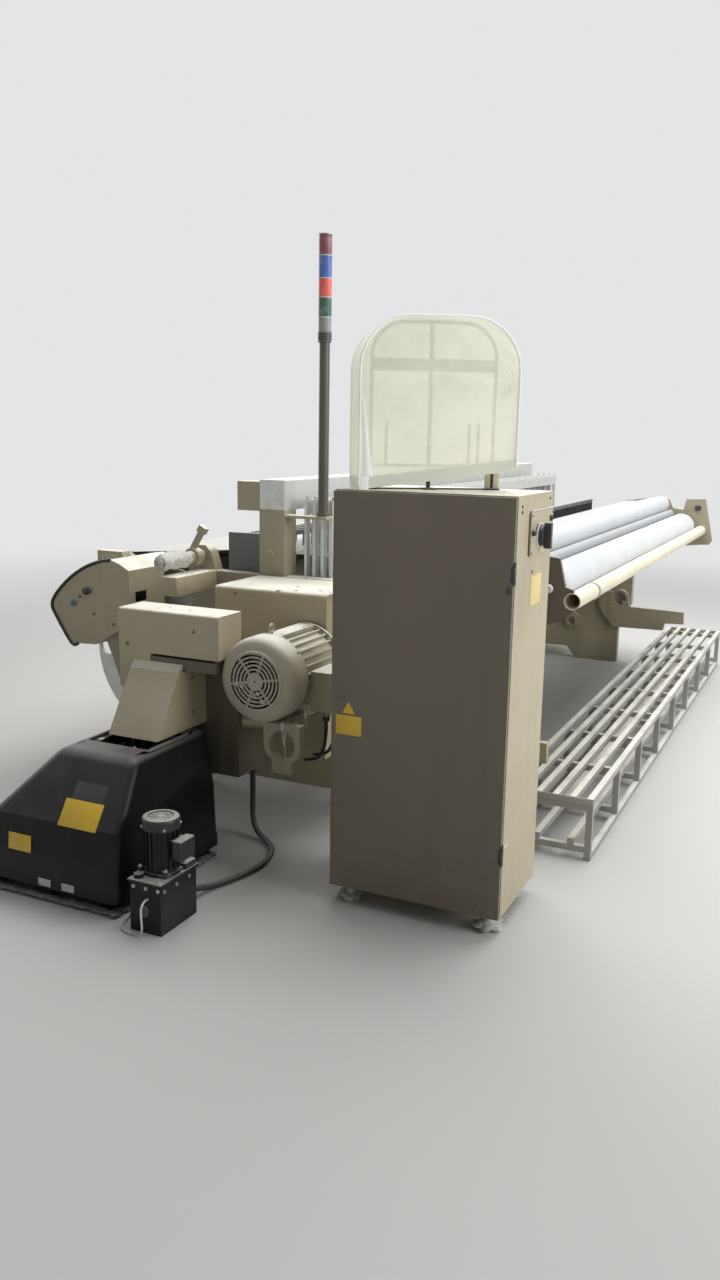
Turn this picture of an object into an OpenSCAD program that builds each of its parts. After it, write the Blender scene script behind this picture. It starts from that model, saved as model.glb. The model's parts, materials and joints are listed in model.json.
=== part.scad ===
// A wide air-jet power loom with its control cabinet, drive covers, cam unit, pump unit and weaver's step.
// Millimetres. X runs along the loom from the drive end, Y from the cloth side to the warp side, Z is up.
// Inside the modules x = 0 is the outer face of the near side frame; place() moves the floor centre of the
// whole machine to the origin.

/* [Loom] */
// Clear width between the two side frames
frame_gap = 3490; // [2400:10:4000]
// Thickness of a side frame
frame_t = 60; // [40:2:80]
// Height of the side frames without the columns
frame_h = 980; // [940:5:1000]
// Height of the warp line over the floor
warp_z = 1060; // [1050:2:1070]
// Top of the top beam
beam_top_z = 1380; // [1370:5:1420]
// Height of the top beam's section
top_beam_h = 125; // [80:5:140]
// Depth of the top beam's section
top_beam_d = 122; // [90:2:140]
// Warp-side place of the top beam's cloth face
top_beam_y = 137; // [130:1:150]
// Running clearance of a shaft in its bearing, on the radius
running = 0.05; // [0.03:0.01:0.08]
// Seating gap between pieces that touch
seat = 0.3; // [0.2:0.05:0.4]

/* [Warp side] */
// Depth place of the warp beam's axis
beam_y = 825; // [815:5:830]
// Height of the warp beam's axis
beam_z = 560; // [550:5:570]
// Radius of the warp beam's flanges
flange_r = 400; // [350:5:400]
// Thickness of a flange
flange_t = 18; // [10:1:30]
// Radius of the warp wound on the beam
yarn_r = 300; // [200:5:320]
// Radius of the beam's barrel
barrel_r = 90; // [60:5:120]
// Radius of the beam's journals
beam_journal_r = 40; // [30:1:50]
// Depth place of the backrest roller
rest_y = 1055; // [1050:5:1060]
// Height of the backrest roller's axis
rest_z = 960; // [955:5:965]
// Radius of the backrest roller
rest_r = 52; // [45:1:54]
// Radius of the backrest's journals
rest_journal_r = 20; // [15:1:30]
// Thickness of the warp and cloth sheets
sheet_t = 1.2; // [1:0.1:2]

/* [Shed] */
// Number of heddle wires along one heald frame
heddles = 48; // [20:1:80]
// Depth place of the heald frame next to the reed
heald_y = -50; // [-60:5:-40]
// Pitch from one heald frame to the next
heald_pitch = 40; // [30:1:42]
// Height of a heald frame
heald_h = 480; // [420:5:500]
// Height of a heald frame's rails
heald_rail = 60; // [40:2:70]
// Thickness of a heald frame
heald_t = 12; // [8:1:16]
// Radius of the sley's rocking shaft
rock_r = 40; // [30:1:50]
// Height of the rocking shaft
rock_z = 640; // [620:5:660]
// Number of slits in the reed
reed_slits = 100; // [40:1:118]

/* [Cloth side] */
// Radius of the take-up roller with its cover
takeup_r = 58; // [50:1:62]
// Radius of the wound cloth
cloth_r = 86; // [70:1:92]
// Radius of the front bar
bar_r = 32.5; // [25:0.5:34]
// Wall of the front bar's tube
bar_wall = 4; // [2:0.5:6]
// Thickness of a roll bracket
bracket_t = 20; // [14:1:24]
// Radius of the rolls' journals
roll_journal_r = 14; // [10:1:16]

/* [Cabinet] */
// Width of the control cabinet along the loom's depth
cab_w = 600; // [500:10:640]
// Depth of the control cabinet along the loom
cab_d = 400; // [340:10:400]
// Height of the cabinet's top over the floor
cab_top = 1402; // [1300:2:1440]
// Height of the levelling feet
cab_foot_h = 60; // [50:2:80]
// Thickness of the sheet of the cabinet
cab_wall = 3; // [2:0.5:4]
// Thickness of the folded door
door_t = 18; // [14:1:22]
// Width of the hood's front panel
hood_w = 502; // [460:2:520]
// Depth of the hood
hood_d = 215; // [180:5:240]
// Height of the hood
hood_h = 530; // [480:5:560]
// Wall of the hood's fabric
hood_wall = 4; // [3:0.5:6]
// Turn of the hood on the cabinet
hood_turn = 33; // [20:1:40]

/* [Drive] */
// Radius of the drive motor's fan cowl
motor_r = 155; // [140:1:155]
// Length of the motor with its cowl
motor_l = 390; // [360:5:392]
// Number of the motor's cooling fins
motor_fins = 30; // [16:1:36]
// Radius of the motor's shaft
motor_shaft_r = 19; // [15:1:22]
// Radius of the motor's pulley
small_pulley_r = 50; // [40:1:54]
// Radius of the main shaft's pulley
big_pulley_r = 150; // [120:5:155]
// Width of the belt
belt_w = 60; // [40:5:70]
// Thickness of the belt
belt_t = 6; // [4:1:8]
// Radius of the main shaft
main_r = 30; // [25:1:35]
// Sheet thickness of the beige covers
cover_wall = 3; // [2:0.5:4]
// Radius of the covers' rounded top edges
cover_round = 22; // [10:1:28]
// Height of the cam unit's black cover
cam_h = 495; // [440:5:500]
// Wall of the black cover
cam_wall = 5; // [3:0.5:8]

/* [Pump unit] */
// Length of the pump unit's tank
tank_l = 205; // [160:5:220]
// Width of the tank
tank_w = 130; // [100:5:140]
// Height of the tank
tank_h = 175; // [140:5:190]
// Radius of the pump's motor
pump_r = 60; // [50:1:62]
// Height of the pump's motor
pump_h = 185; // [150:5:200]
// Radius of the dark hose
hose_r = 11; // [8:0.5:13]
// Radius of the pale cable
cable_r = 3.5; // [3:0.5:5]

/* [Signal tower] */
// Radius of the tower's pole
pole_r = 21; // [16:1:23]
// Radius of the lenses
lens_r = 27; // [25:1:32]
// Underside of the lens stack's collar over the floor
lens_z = 1927; // [1700:5:2000]

/* [Weaver's step] */
// Length of the step along the loom
step_l = 3843; // [2000:10:4000]
// Depth of the step
step_d = 355; // [260:5:360]
// Height of the step
step_h = 247; // [200:2:252]
// Side of its square tubes
step_tube = 25; // [20:1:28]
// Number of its slats
step_slats = 6; // [4:1:7]
// Number of its cross frames
step_posts = 9; // [5:1:12]

/* [Hidden] */
$fn = 48;

// Long way of the machine
in0 = frame_t;
in1 = frame_t + frame_gap;
out1 = in1 + frame_t;
pump_x = -1290;
far_cover_l = 380;
mid_x = (pump_x + out1 + far_cover_l) / 2;

// Deep way of the machine
step_y = -1225;
mid_y = (step_y + beam_y + flange_r) / 2;

// Rolls of the cloth side as [y, z]
takeup_at = [-800, 1130];
cloth_at = [-950, 992];
bar_at = [-1072, 966];
breast_at = [-600, 1129];
breast_d = 60;
breast_h = 74;
web_r = takeup_r + seat + sheet_t;
roll_way = cloth_at - takeup_at;
roll_dist = norm(roll_way);
roll_turn = atan2(roll_way[1], roll_way[0]);
press_r = (roll_dist - takeup_r - cloth_r - 4 * seat - 2 * sheet_t) / 2;
press_at = takeup_at + roll_way / roll_dist * (takeup_r + 2 * seat + sheet_t + press_r);
roll_x0 = in0 + bracket_t + 20;
roll_x1 = in1 - bracket_t - 20;

// Shafts as [y, z]
main_at = [-60, 520];
rock_at = [-250, rock_z];
motor_at = [-170, 720];
beam_at = [beam_y, beam_z];
rest_at = [rest_y, rest_z];

// Drive end
cover_x0 = -350;
motor_x0 = cover_x0 - 10 - motor_l;
cowl_l = 110;
pulley_x = cover_x0 + 90;
flange_wall = 12;

// Cabinet corner nearest the loom's floor line
cab_x = -811;
cab_y = -1104;
cab_front = cab_x + door_t + seat;

// Fell and reed
fell_y = -335;
reed_t = 14;
reed_z0 = 975;
reed_z1 = 1150;

// Signal tower
tower_at = [30, -28];
lens_heights = [58, 75, 72, 85, 80];
collar_h = 38;

module place() {
    translate([-mid_x, -mid_y, 0]) children();
}

module block(lo, hi) {
    translate(lo) cube(hi - lo);
}

module rod_x(r, x0, x1, at) {
    translate([x0, at[0], at[1]]) rotate([0, 90, 0]) cylinder(r = r, h = x1 - x0);
}

module rod_y(r, y0, y1, at) {
    translate([at[0], y1, at[1]]) rotate([90, 0, 0]) cylinder(r = r, h = y1 - y0);
}

module rod_z(r, z0, z1, at) {
    translate([at[0], at[1], z0]) cylinder(r = r, h = z1 - z0);
}

// Extrudes an outline drawn in Y and Z along X
module prism_x(x0, x1) {
    translate([x0, 0, 0]) rotate([90, 0, 90]) linear_extrude(x1 - x0) children();
}

// Extrudes an outline drawn in X and Z along Y
module prism_y(y0, y1) {
    translate([0, y1, 0]) rotate([90, 0, 0]) linear_extrude(y1 - y0) children();
}

module hole(at, r) {
    translate(at) circle(r);
}

module bar_between(p, q, w) {
    way = q - p;
    translate(p) rotate(atan2(way[1], way[0])) translate([0, -w / 2]) square([norm(way), w]);
}

module rect(lo, hi) {
    translate(lo) square(hi - lo);
}

// A rectangle with two round upper corners
module round_top(lo, hi, r) {
    rect(lo, [hi[0], hi[1] - r]);
    rect([lo[0] + r, lo[1]], [hi[0] - r, hi[1]]);
    hole([lo[0] + r, hi[1] - r], r);
    hole([hi[0] - r, hi[1] - r], r);
}

// Side frames

// Easing shaft of the stop lever as [y, z]
easing_at = [555, frame_h + 60];
easing_r = 28;

module frame_outline() {
    polygon([
        [-560, 0], [-560, 300], [-640, 420], [-640, frame_h - 40], [-600, frame_h], [500, frame_h],
        [560, frame_h - 60], [beam_y - 185, beam_z + 200], [rest_y - 150, beam_z + 200],
        [rest_y - 70, rest_z + 70], [rest_y + 70, rest_z + 70], [rest_y + 70, beam_z + 140],
        [beam_y + 185, beam_z - 140], [beam_y + 75, 160], [beam_y + 35, 0], [560, 0], [500, 80], [-200, 80],
        [-260, 0]
    ]);
}

module frame_bores() {
    hole(beam_at, beam_journal_r + running);
    hole(rest_at, rest_journal_r + running);
    hole(main_at, main_r + running);
    hole(rock_at, rock_r + running);
}

hook_at = [-563, 462];

module cradle_arm() {
    difference() {
        union() {
            polygon([
                [-418, 507], [-426, 385], [-527, 257], [-873, 262], [-883, 312], [-1008, 317], [-1004, 401],
                [-640, 408], [-600, 507]
            ]);
            hole(hook_at, 62);
        }
        hole(hook_at, 44);
    }
}

module side_frame(x0) {
    prism_x(x0, x0 + frame_t) difference() {
        frame_outline();
        frame_bores();
    }
}

module near_side_frame() color("#b3ab98") place() {
    side_frame(0);
    prism_x(frame_t, frame_t + 30) cradle_arm();
    prism_x(0, frame_t) difference() {
        polygon([
            easing_at + [-75, -61], easing_at + [-50, 20], easing_at + [-25, 48], easing_at + [30, 48],
            easing_at + [60, 20], easing_at + [75, -180], easing_at + [0, -180]
        ]);
        hole(easing_at, easing_r + running);
    }
}

module far_side_frame() color("#b3ab98") place() {
    flange_at = [-230, 270];
    side_frame(in1);
    prism_x(in1 - 30, in1) cradle_arm();
    difference() {
        union() {
            rod_x(63, in1 - 14, in1, flange_at);
            rod_x(42, in1 - 26, in1, flange_at);
            for (turn = [45:90:315])
                rod_x(7, in1 - 20, in1, flange_at + 52 * [cos(turn), sin(turn)]);
        }
        rod_x(24, in1 - 27, in1 - 6, flange_at);
    }
}

module lower_cross_beam() color("#a8a08d") place() {
    difference() {
        block([in0, 20, 250], [in1, 140, 400]);
        block([in0 + 10, 28, 258], [in1 - 10, 132, 392]);
    }
}

module rear_cross_beam() color("#a8a08d") place() {
    difference() {
        block([in0, 300, 250], [in1, 420, 400]);
        block([in0 + 10, 308, 258], [in1 - 10, 412, 392]);
    }
}

// Cloth side

module breast_beam() color("#c9c1ab") place() {
    lo = breast_at - [breast_d / 2, breast_h / 2];
    hi = breast_at + [breast_d / 2, breast_h / 2 - 20];
    prism_x(in0 + bracket_t, in1 - bracket_t) round_top(lo, hi, 12);
}

module bracket_outline(nose) {
    polygon(concat(
        [
            [-560, frame_h - 120], [-560, breast_at[1] + 20], takeup_at + [100, 38], takeup_at + [-50, 38]
        ],
        nose,
        [[-900, 850], [-760, frame_h - 200], [-640, frame_h - 200]]
    ));
}

module roll_bracket(x0, nose) {
    prism_x(x0, x0 + bracket_t) difference() {
        bracket_outline(nose);
        hole(takeup_at, roll_journal_r + running);
        hole(press_at, roll_journal_r - 4 + running);
        hole(cloth_at, roll_journal_r + running);
        hole(bar_at, bar_r + seat);
    }
}

module near_roll_bracket() color("#6e665a") place() {
    roll_bracket(in0, [
        [-979, 1131], [-1016, 1127], [-1042, 1020], [-1075, 1010], [-1077, 925], [-1050, 900], [-1019, 882]
    ]);
}

module far_roll_bracket() color("#b9b19d") place() {
    roll_bracket(in1 - bracket_t, [
        takeup_at + [-80, -20], [-950, 1100], [-965, 1172], [-1088, 1178], [-1150, 900], [-1130, 873],
        [-1092, 872]
    ]);
}

module roller(r, journal_r, at) {
    rod_x(r, roll_x0, roll_x1, at);
    rod_x(journal_r, in0 + 2, in1 - 2, at);
}

module take_up_roller() color("#e9e9e6") place() {
    roller(takeup_r, roll_journal_r, takeup_at);
}

module press_roller() color("#9a9ca0") place() {
    roller(press_r, roll_journal_r - 4, press_at);
}

core_r = 38;

module cloth_core() color("#8d8f92") place() {
    rod_x(core_r, roll_x0 - 12, roll_x1 + 12, cloth_at);
    rod_x(roll_journal_r, in0 + 2, in1 - 2, cloth_at);
}

module cloth_roll() color("#f2f3f4") place() {
    difference() {
        rod_x(cloth_r, roll_x0 + 30, roll_x1 - 30, cloth_at);
        rod_x(core_r, roll_x0, roll_x1, cloth_at);
    }
}

module front_bar() color("#e6dfc9") place() {
    ring_x = in0 + 310;
    difference() {
        union() {
            rod_x(bar_r, in0 + 1, in1 - 1, bar_at);
            rod_x(bar_r + 2.5, ring_x, ring_x + 14, bar_at);
        }
        rod_x(bar_r - bar_wall, in0, in1, bar_at);
    }
}

// A ring sector between two angles, counted anticlockwise
module arc_band(at, r0, r1, from, to) {
    far = 2 * r1;
    steps = 6;
    turn = (to - from) / steps;
    translate(at) intersection() {
        difference() {
            circle(r1);
            circle(r0);
        }
        polygon(concat([[0, 0]], [for (i = [0:steps]) far * [cos(from + i * turn), sin(from + i * turn)]]));
    }
}

// Points along an arc
function arc_points(at, r, from, to, steps) =
    [for (i = [0:steps]) let (a = from + (to - from) * i / steps) at + r * [cos(a), sin(a)]];
// Where a line from a point touches a roller, as an angle; side is 1 or -1
function touch_angle(at, r, point, side) =
    let (way = point - at) atan2(way[1], way[0]) + side * acos(r / norm(way));
function square_to(path, i) =
    let (way = path[min(i + 1, len(path) - 1)] - path[max(i - 1, 0)]) [-way[1], way[0]] / norm(way);

// A sheet of thickness t that follows a path
module ribbon(path, t) {
    n = len(path);
    polygon(concat(
        [for (i = [0:n - 1]) path[i] + t / 2 * square_to(path, i)],
        [for (i = [n - 1:-1:0]) path[i] - t / 2 * square_to(path, i)]
    ));
}

module cloth_web() color("#f4f5f6") place() {
    over_z = breast_h / 2 - 20 + seat + sheet_t / 2;
    nose = breast_at + [breast_d / 2, over_z];
    tail = breast_at + [-breast_d / 2, over_z];
    mid_r = takeup_r + seat + sheet_t / 2;
    prism_x(roll_x0 + 30, roll_x1 - 30) ribbon(concat(
        [[fell_y - reed_t / 2 - 1, warp_z], nose, tail],
        arc_points(takeup_at, mid_r, touch_angle(takeup_at, mid_r, tail, 1), roll_turn + 360, 40),
        arc_points(press_at, press_r + seat + sheet_t / 2, roll_turn + 174, roll_turn, 24)
    ), sheet_t);
}

// Sley and reed

module sley() color("#9fa2a4") place() {
    sword_xs = [for (i = [0:4]) roll_x0 + 60 + i * (roll_x1 - roll_x0 - 160) / 4];
    rod_x(rock_r, 2, out1 - 2, rock_at);
    for (x = sword_xs)
        prism_x(x, x + 40) polygon([
            rock_at + [-30, 0], rock_at + [34, 0], [fell_y + 45, reed_z0 - 70], [fell_y - 20, reed_z0 - 70]
        ]);
    prism_x(roll_x0 + 20, roll_x1 - 20) difference() {
        rect([fell_y - 30, reed_z0 - 75], [fell_y + 55, reed_z0 + 25]);
        rect([fell_y - reed_t / 2, reed_z0], [fell_y + reed_t / 2, reed_z0 + 26]);
    }
}

module reed() color("#3b3b3d") place() {
    x0 = roll_x0 + 40;
    x1 = roll_x1 - 40;
    pitch = (x1 - x0 - 40) / reed_slits;
    difference() {
        block([x0, fell_y - reed_t / 2 + 0.1, reed_z0], [x1, fell_y + reed_t / 2 - 0.1, reed_z1]);
        for (i = [0:reed_slits - 1])
            block([x0 + 20 + (i + 0.3) * pitch, fell_y - reed_t, reed_z0 + 40],
                  [x0 + 20 + (i + 0.7) * pitch, fell_y + reed_t, reed_z1 - 22]);
    }
}

// Heald frames

module heald_frame(index) {
    y0 = heald_y + index * heald_pitch - heald_t / 2;
    y1 = y0 + heald_t;
    x0 = in0 + seat;
    x1 = in1 - seat;
    z0 = warp_z - heald_h / 2;
    z1 = warp_z + heald_h / 2;
    eye = sheet_t / 2 + seat;
    wire = 2;
    pitch = (x1 - x0 - 120) / (heddles - 1);
    block([x0, y0, z0], [x1, y1, z0 + heald_rail]);
    block([x0, y0, z1 - heald_rail], [x1, y1, z1]);
    for (x = [x0, x1 - 30])
        block([x, y0, z0 + 1], [x + 30, y1, z1 - 1]);
    for (x = [x0 + 12, x1 - 26])
        block([x, y0 + 1, z1 - 1], [x + 14, y1 - 1, z1 + 14]);
    for (i = [0:heddles - 1]) {
        x = x0 + 60 + i * pitch;
        block([x - wire, y0 + 4, warp_z + eye], [x + wire, y1 - 4, z1 - heald_rail + 1]);
        block([x - wire, y0 + 4, z0 + heald_rail - 1], [x + wire, y1 - 4, warp_z - eye]);
    }
}

module heald_frame_1() color("#85898c") place() heald_frame(0);

module heald_frame_2() color("#85898c") place() heald_frame(1);

module heald_frame_3() color("#85898c") place() heald_frame(2);

module heald_frame_4() color("#85898c") place() heald_frame(3);

// Warp

module warp_beam() color("#7f8284") place() {
    x0 = roll_x0 + 10;
    x1 = roll_x1 - 10;
    rod_x(barrel_r, x0, x1, beam_at);
    rod_x(beam_journal_r, 2, out1 - 2, beam_at);
    for (x = [x0, x1 - flange_t]) {
        difference() {
            rod_x(flange_r, x, x + flange_t, beam_at);
            for (turn = [0:60:300])
                rod_x(45, x - 1, x + flange_t + 1, beam_at + (flange_r - 55) * [cos(turn), sin(turn)]);
        }
    }
}

module warp_yarn() color("#8b8fa0") place() {
    difference() {
        rod_x(yarn_r, roll_x0 + 10 + flange_t, roll_x1 - 10 - flange_t, beam_at);
        rod_x(barrel_r, roll_x0, roll_x1, beam_at);
    }
}

module backrest_roller() color("#c9c7c0") place() {
    rod_x(rest_r, in0 + 20, in1 - 20, rest_at);
    rod_x(rest_journal_r, 2, out1 - 2, rest_at);
}

stop_y0 = 262;
stop_y1 = 450;

module warp_sheet() color("#dfe0e2") place() {
    rise = rest_at - beam_at;
    beam_mid = yarn_r + seat + sheet_t / 2;
    rest_mid = rest_r + seat + sheet_t / 2;
    lean = atan2(rise[1], rise[0]) - acos((beam_mid - rest_mid) / norm(rise));
    off = beam_at + beam_mid * [cos(lean), sin(lean)];
    leave = touch_angle(rest_at, rest_mid, [stop_y1, warp_z], -1);
    prism_x(roll_x0 + 40, roll_x1 - 40) ribbon(concat(
        [off], arc_points(rest_at, rest_mid, lean, leave, 24), [[stop_y1, warp_z], [stop_y0 - 60, warp_z]]
    ), sheet_t);
}

module warp_shed() color("#e4e5e6") place() {
    block([roll_x0 + 40, fell_y + reed_t / 2 + 1, warp_z - sheet_t / 2],
          [roll_x1 - 40, stop_y0 - 60 - 0.5, warp_z + sheet_t / 2]);
}

module drop_wires() color("#a9acae") place() {
    rows = 4;
    wires = 40;
    x0 = in0 + 40;
    x1 = in1 - 40;
    row_pitch = (stop_y1 - stop_y0 - 60) / (rows - 1);
    wire_pitch = (x1 - x0 - 200) / (wires - 1);
    foot = warp_z + sheet_t / 2 + seat;
    for (x = [in0, in1 - 40])
        block([x, stop_y0, frame_h - 60], [x + 40, stop_y1, foot + 84]);
    for (row = [0:rows - 1]) {
        y = stop_y0 + 30 + row * row_pitch;
        block([x0 - 1, y - 5, foot + 54], [x1 + 1, y + 5, foot + 76]);
        for (i = [0:wires - 1])
            block([x0 + 100 + i * wire_pitch - 5, y - 1.5, foot],
                  [x0 + 100 + i * wire_pitch + 5, y + 1.5, foot + 55]);
    }
}

module stop_lever() color("#d8d0b8") place() {
    x0 = -62;
    lean = 31;
    foot = easing_at + [28, -8];
    rod_x(easing_r, -300, frame_t - 2, easing_at);
    rod_x(easing_r + 12, x0 - 12, x0 + 30, easing_at);
    prism_x(x0, x0 + 10) translate(foot) rotate(lean) rect([-14, 0], [14, 150]);
    prism_x(x0 - 10, x0 + 20) translate(foot) rotate(lean) rect([-18, 135], [18, 165]);
}

// Columns and top beam

module column(x0, head) {
    block([x0, top_beam_y, frame_h], [x0 + 100, top_beam_y + top_beam_d, beam_top_z - top_beam_h]);
    if (head) {
        block([x0, top_beam_y + top_beam_d, beam_top_z - top_beam_h - 7],
              [x0 + 100, top_beam_y + top_beam_d + 108, beam_top_z - 10]);
        rod_x(24, x0 - 4, x0 + 1, [top_beam_y + 75, frame_h + 82]);
    }
}

module near_column() color("#b5ab95") place() {
    arm_z = 1225;
    column(0, true);
    block([0, tower_at[1] - 30, arm_z], [frame_t - 2, top_beam_y + 1, arm_z + 12]);
}

module far_column() color("#b5ab95") place() {
    column(out1 - 100, false);
}

module top_beam() color("#d9d8d2") place() {
    y1 = top_beam_y + top_beam_d;
    z0 = beam_top_z - top_beam_h;
    difference() {
        block([0, top_beam_y, z0], [out1, y1, beam_top_z]);
        block([6, top_beam_y + 5, z0 + 5], [out1 - 6, y1 - 5, beam_top_z - 5]);
    }
}

// Drive end: gear case, covers, motor

case_x0 = -600;
case_z0 = 300;
case_z1 = 772;
cap_x0 = -750;
cap_x1 = -597;
cap_y0 = -24;
cap_z0 = 775;
duct_y0 = 130;
duct_y1 = 345;
duct_z0 = cam_h + 5;
duct_z1 = 720;

module gear_case() color("#aaa08b") place() {
    block([case_x0, -10, case_z0], [cover_x0 - 2, 400, case_z1]);
    block([cover_x0 - 3, 258, case_z0], [0, 400, case_z1]);
    block([cap_x0 + 1.5, -10, 726], [case_x0 + 1, 268, case_z1]);
    for (x = [cap_x0 + 1.5, case_x0 - 20])
        for (y = [-10, 248])
            block([x, y, case_z1 - 1], [x + 22, y + 20, cap_z0 - seat]);
    difference() {
        block([case_x0 - 50, 346, 480], [case_x0 + 1, 440, 690]);
        block([case_x0 - 47, 349, 470], [case_x0, 437, 687]);
        rod_x(5, case_x0 - 60, case_x0 - 40, [404, 640]);
    }
}

module gear_cover() color("#cfc6b0") place() {
    x0 = cap_x0;
    x1 = cap_x1;
    y0 = cap_y0;
    y1 = 414;
    z0 = cap_z0;
    z1 = 935;
    w = cover_wall;
    difference() {
        union() {
            prism_x(x0, x1) round_top([y0, z0], [y1, z1], cover_round);
            block([x0, duct_y1 + 2, 640], [case_x0 - 52, y1, z0 + 1]);
            block([x0, 272, duct_z1 + 2], [case_x0 - 2, duct_y1 + 3, z0 + 1]);
        }
        prism_x(x0 + w, x1 - w) round_top([y0 + w, z0 - 1], [y1 - w, z1 - w], cover_round - w);
        block([x0 + w, duct_y1 + 2 + w, 630], [case_x0, y1 - w, z0 + 2]);
        block([x0 + w, 272 + w, duct_z1], [case_x0, duct_y1 + 4 + w, z0 + 2]);
    }
    for (at = [[81, 874], [374, 804]])
        rod_x(7, x0 - 3, x0 + 1, at);
}

module drive_cover() color("#cfc6b0") place() {
    x0 = cover_x0;
    y0 = -245;
    y1 = 255;
    z0 = 335;
    z1 = 980 - 2;
    w = cover_wall;
    difference() {
        prism_x(x0, 0 - 2) round_top([y0, z0], [y1, z1], cover_round);
        prism_x(x0 + w, 1) round_top([y0 + w, z0 + w], [y1 - w, z1 - w], cover_round - w);
        rod_x(motor_shaft_r + 6, x0 - 1, x0 + w + 1, motor_at);
    }
    rod_x(7, x0 - 3, x0 + 1, [158, 955]);
    for (y = [y0 + 20, y1 - 40])
        block([-30, y, z0], [0, y + 20, z0 + 12]);
}

module linkage_duct() color("#bdb39c") place() {
    x0 = -910;
    x1 = -775;
    x2 = case_x0 - seat;
    w = cover_wall;
    difference() {
        prism_y(duct_y0, duct_y1)
            polygon([[x0, duct_z0], [x1, duct_z1], [x2, duct_z1], [x2, duct_z0]]);
        prism_y(duct_y0 + w, duct_y1 - w)
            polygon([
                [x0 + 2 * w, duct_z0 - 1], [x1 + w, duct_z1 - w], [x2 + 1, duct_z1 - w], [x2 + 1, duct_z0 - 1]
            ]);
    }
}

box_x0 = motor_x0 + 145;
box_y1 = motor_at[0] - motor_r + 10;

module motor_body() color("#c4bba5") place() {
    x0 = motor_x0 + cowl_l;
    x1 = motor_x0 + motor_l;
    body_r = motor_r - 26;
    difference() {
        union() {
            rod_x(body_r, x0, x1, motor_at);
            rod_x(motor_r - 6, x1 - flange_wall, x1, motor_at);
            rod_x(motor_r - 12, x0, x0 + 14, motor_at);
            for (i = [0:motor_fins - 1]) {
                turn = i * 360 / motor_fins;
                translate([x0, motor_at[0], motor_at[1]]) rotate([turn, 0, 0])
                    block([1, -2, body_r - 10], [x1 - x0 - 1, 2, motor_r - 12]);
            }
        }
        rod_x(motor_shaft_r + running, x0 - 1, x1 + 1, motor_at);
    }
    difference() {
        union() {
            for (x = [x0 + 10, x1 - 40])
                block([x, motor_at[0] - 60, motor_at[1] - motor_r], [x + 30, motor_at[0] + 60, motor_at[1] - 100]);
            block([box_x0 + 10, box_y1, motor_at[1] - 95], [box_x0 + 140, motor_at[0] - 100, motor_at[1] + 15]);
        }
        rod_x(body_r - 2, x0 - 1, x1 + 1, motor_at);
    }
    eye_at = [x0 + 2, motor_at[1] + motor_r + 16];
    translate([eye_at[0] + 8, motor_at[0], eye_at[1]]) rotate([90, 0, 0])
        rotate_extrude() translate([14, 0]) circle(4.5);
    rod_z(6, motor_at[1] + body_r, eye_at[1] - 12, [eye_at[0] + 8, motor_at[0]]);
}

module fan_cowl() color("#d6cdb7") place() {
    x0 = motor_x0;
    x1 = motor_x0 + cowl_l;
    w = 3;
    difference() {
        union() {
            rod_x(motor_r, x0 + 14, x1 - seat, motor_at);
            translate([x0, motor_at[0], motor_at[1]]) rotate([0, 90, 0])
                cylinder(r1 = motor_r - 22, r2 = motor_r, h = 14);
        }
        rod_x(motor_r - w, x0 + 16, x1 + 1, motor_at);
        rod_x(motor_r - 30, x0 - 1, x0 + 20, motor_at);
    }
    for (ring = [0:5]) {
        r1 = motor_r - 30 - ring * 21 + (ring == 0 ? 3 : 0);
        r0 = motor_r - 41 - ring * 21;
        difference() {
            rod_x(r1, x0 + 4, x0 + 10, motor_at);
            rod_x(r0, x0 + 3, x0 + 11, motor_at);
        }
    }
    for (turn = [3:45:138])
        translate([x0 + 5, motor_at[0], motor_at[1]]) rotate([turn, 0, 0])
            block([0, -4, -(motor_r - 32)], [4, 4, motor_r - 32]);
}

module motor_rotor() color("#8b8d8f") place() {
    fan_x = motor_x0 + 40;
    rod_x(motor_shaft_r, motor_x0 + 30, pulley_x + belt_w + 14, motor_at);
    rod_x(46, fan_x, fan_x + 44, motor_at);
    for (i = [0:7])
        translate([fan_x + 4, motor_at[0], motor_at[1]]) rotate([i * 45, 0, 0])
            block([0, -2, 30], [36, 2, motor_r - 24]);
    rod_x(small_pulley_r, pulley_x, pulley_x + belt_w, motor_at);
    for (x = [pulley_x - 6, pulley_x + belt_w])
        rod_x(small_pulley_r + 4, x, x + 6, motor_at);
}

module terminal_box() color("#c9c0aa") place() {
    y1 = box_y1 - seat;
    z0 = motor_at[1] - 120;
    z1 = motor_at[1] + 25;
    block([box_x0, y1 - 90, z0], [box_x0 + 150, y1, z1]);
    block([box_x0 - 3, y1 - 98, z0 - 3], [box_x0 + 153, y1 - 90, z1 + 3]);
    for (x = [box_x0 + 40, box_x0 + 110])
        rod_z(13, z0 - 22, z0 + 1, [x, y1 - 45]);
}

// Cast bracket under the motor with the round hole at lug_at
lug_at = [-251, 491];

module motor_bracket() color("#b9af99") place() {
    x0 = motor_x0 + 50;
    x1 = motor_x0 + motor_l - 10;
    z1 = motor_at[1] - motor_r - seat;
    prism_x(x0, x0 + 36) difference() {
        union() {
            hole(lug_at, 74);
            rect([lug_at[0] - 74, lug_at[1]], [lug_at[0] + 74, z1]);
            rect([lug_at[0] - 40, lug_at[1] - 108], [lug_at[0] + 40, lug_at[1]]);
        }
        hole(lug_at, 52);
    }
    block([x0, motor_at[0] - 80, z1 - 16], [x1, motor_at[0] + 80, z1]);
    block([case_x0 + 20, motor_at[0] + 79, z1 - 70], [case_x0 + 60, -10, z1]);
    block([x1 - 60, motor_at[0] + 79, z1 - 70], [x1 - 20, -10, z1]);
}

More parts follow.
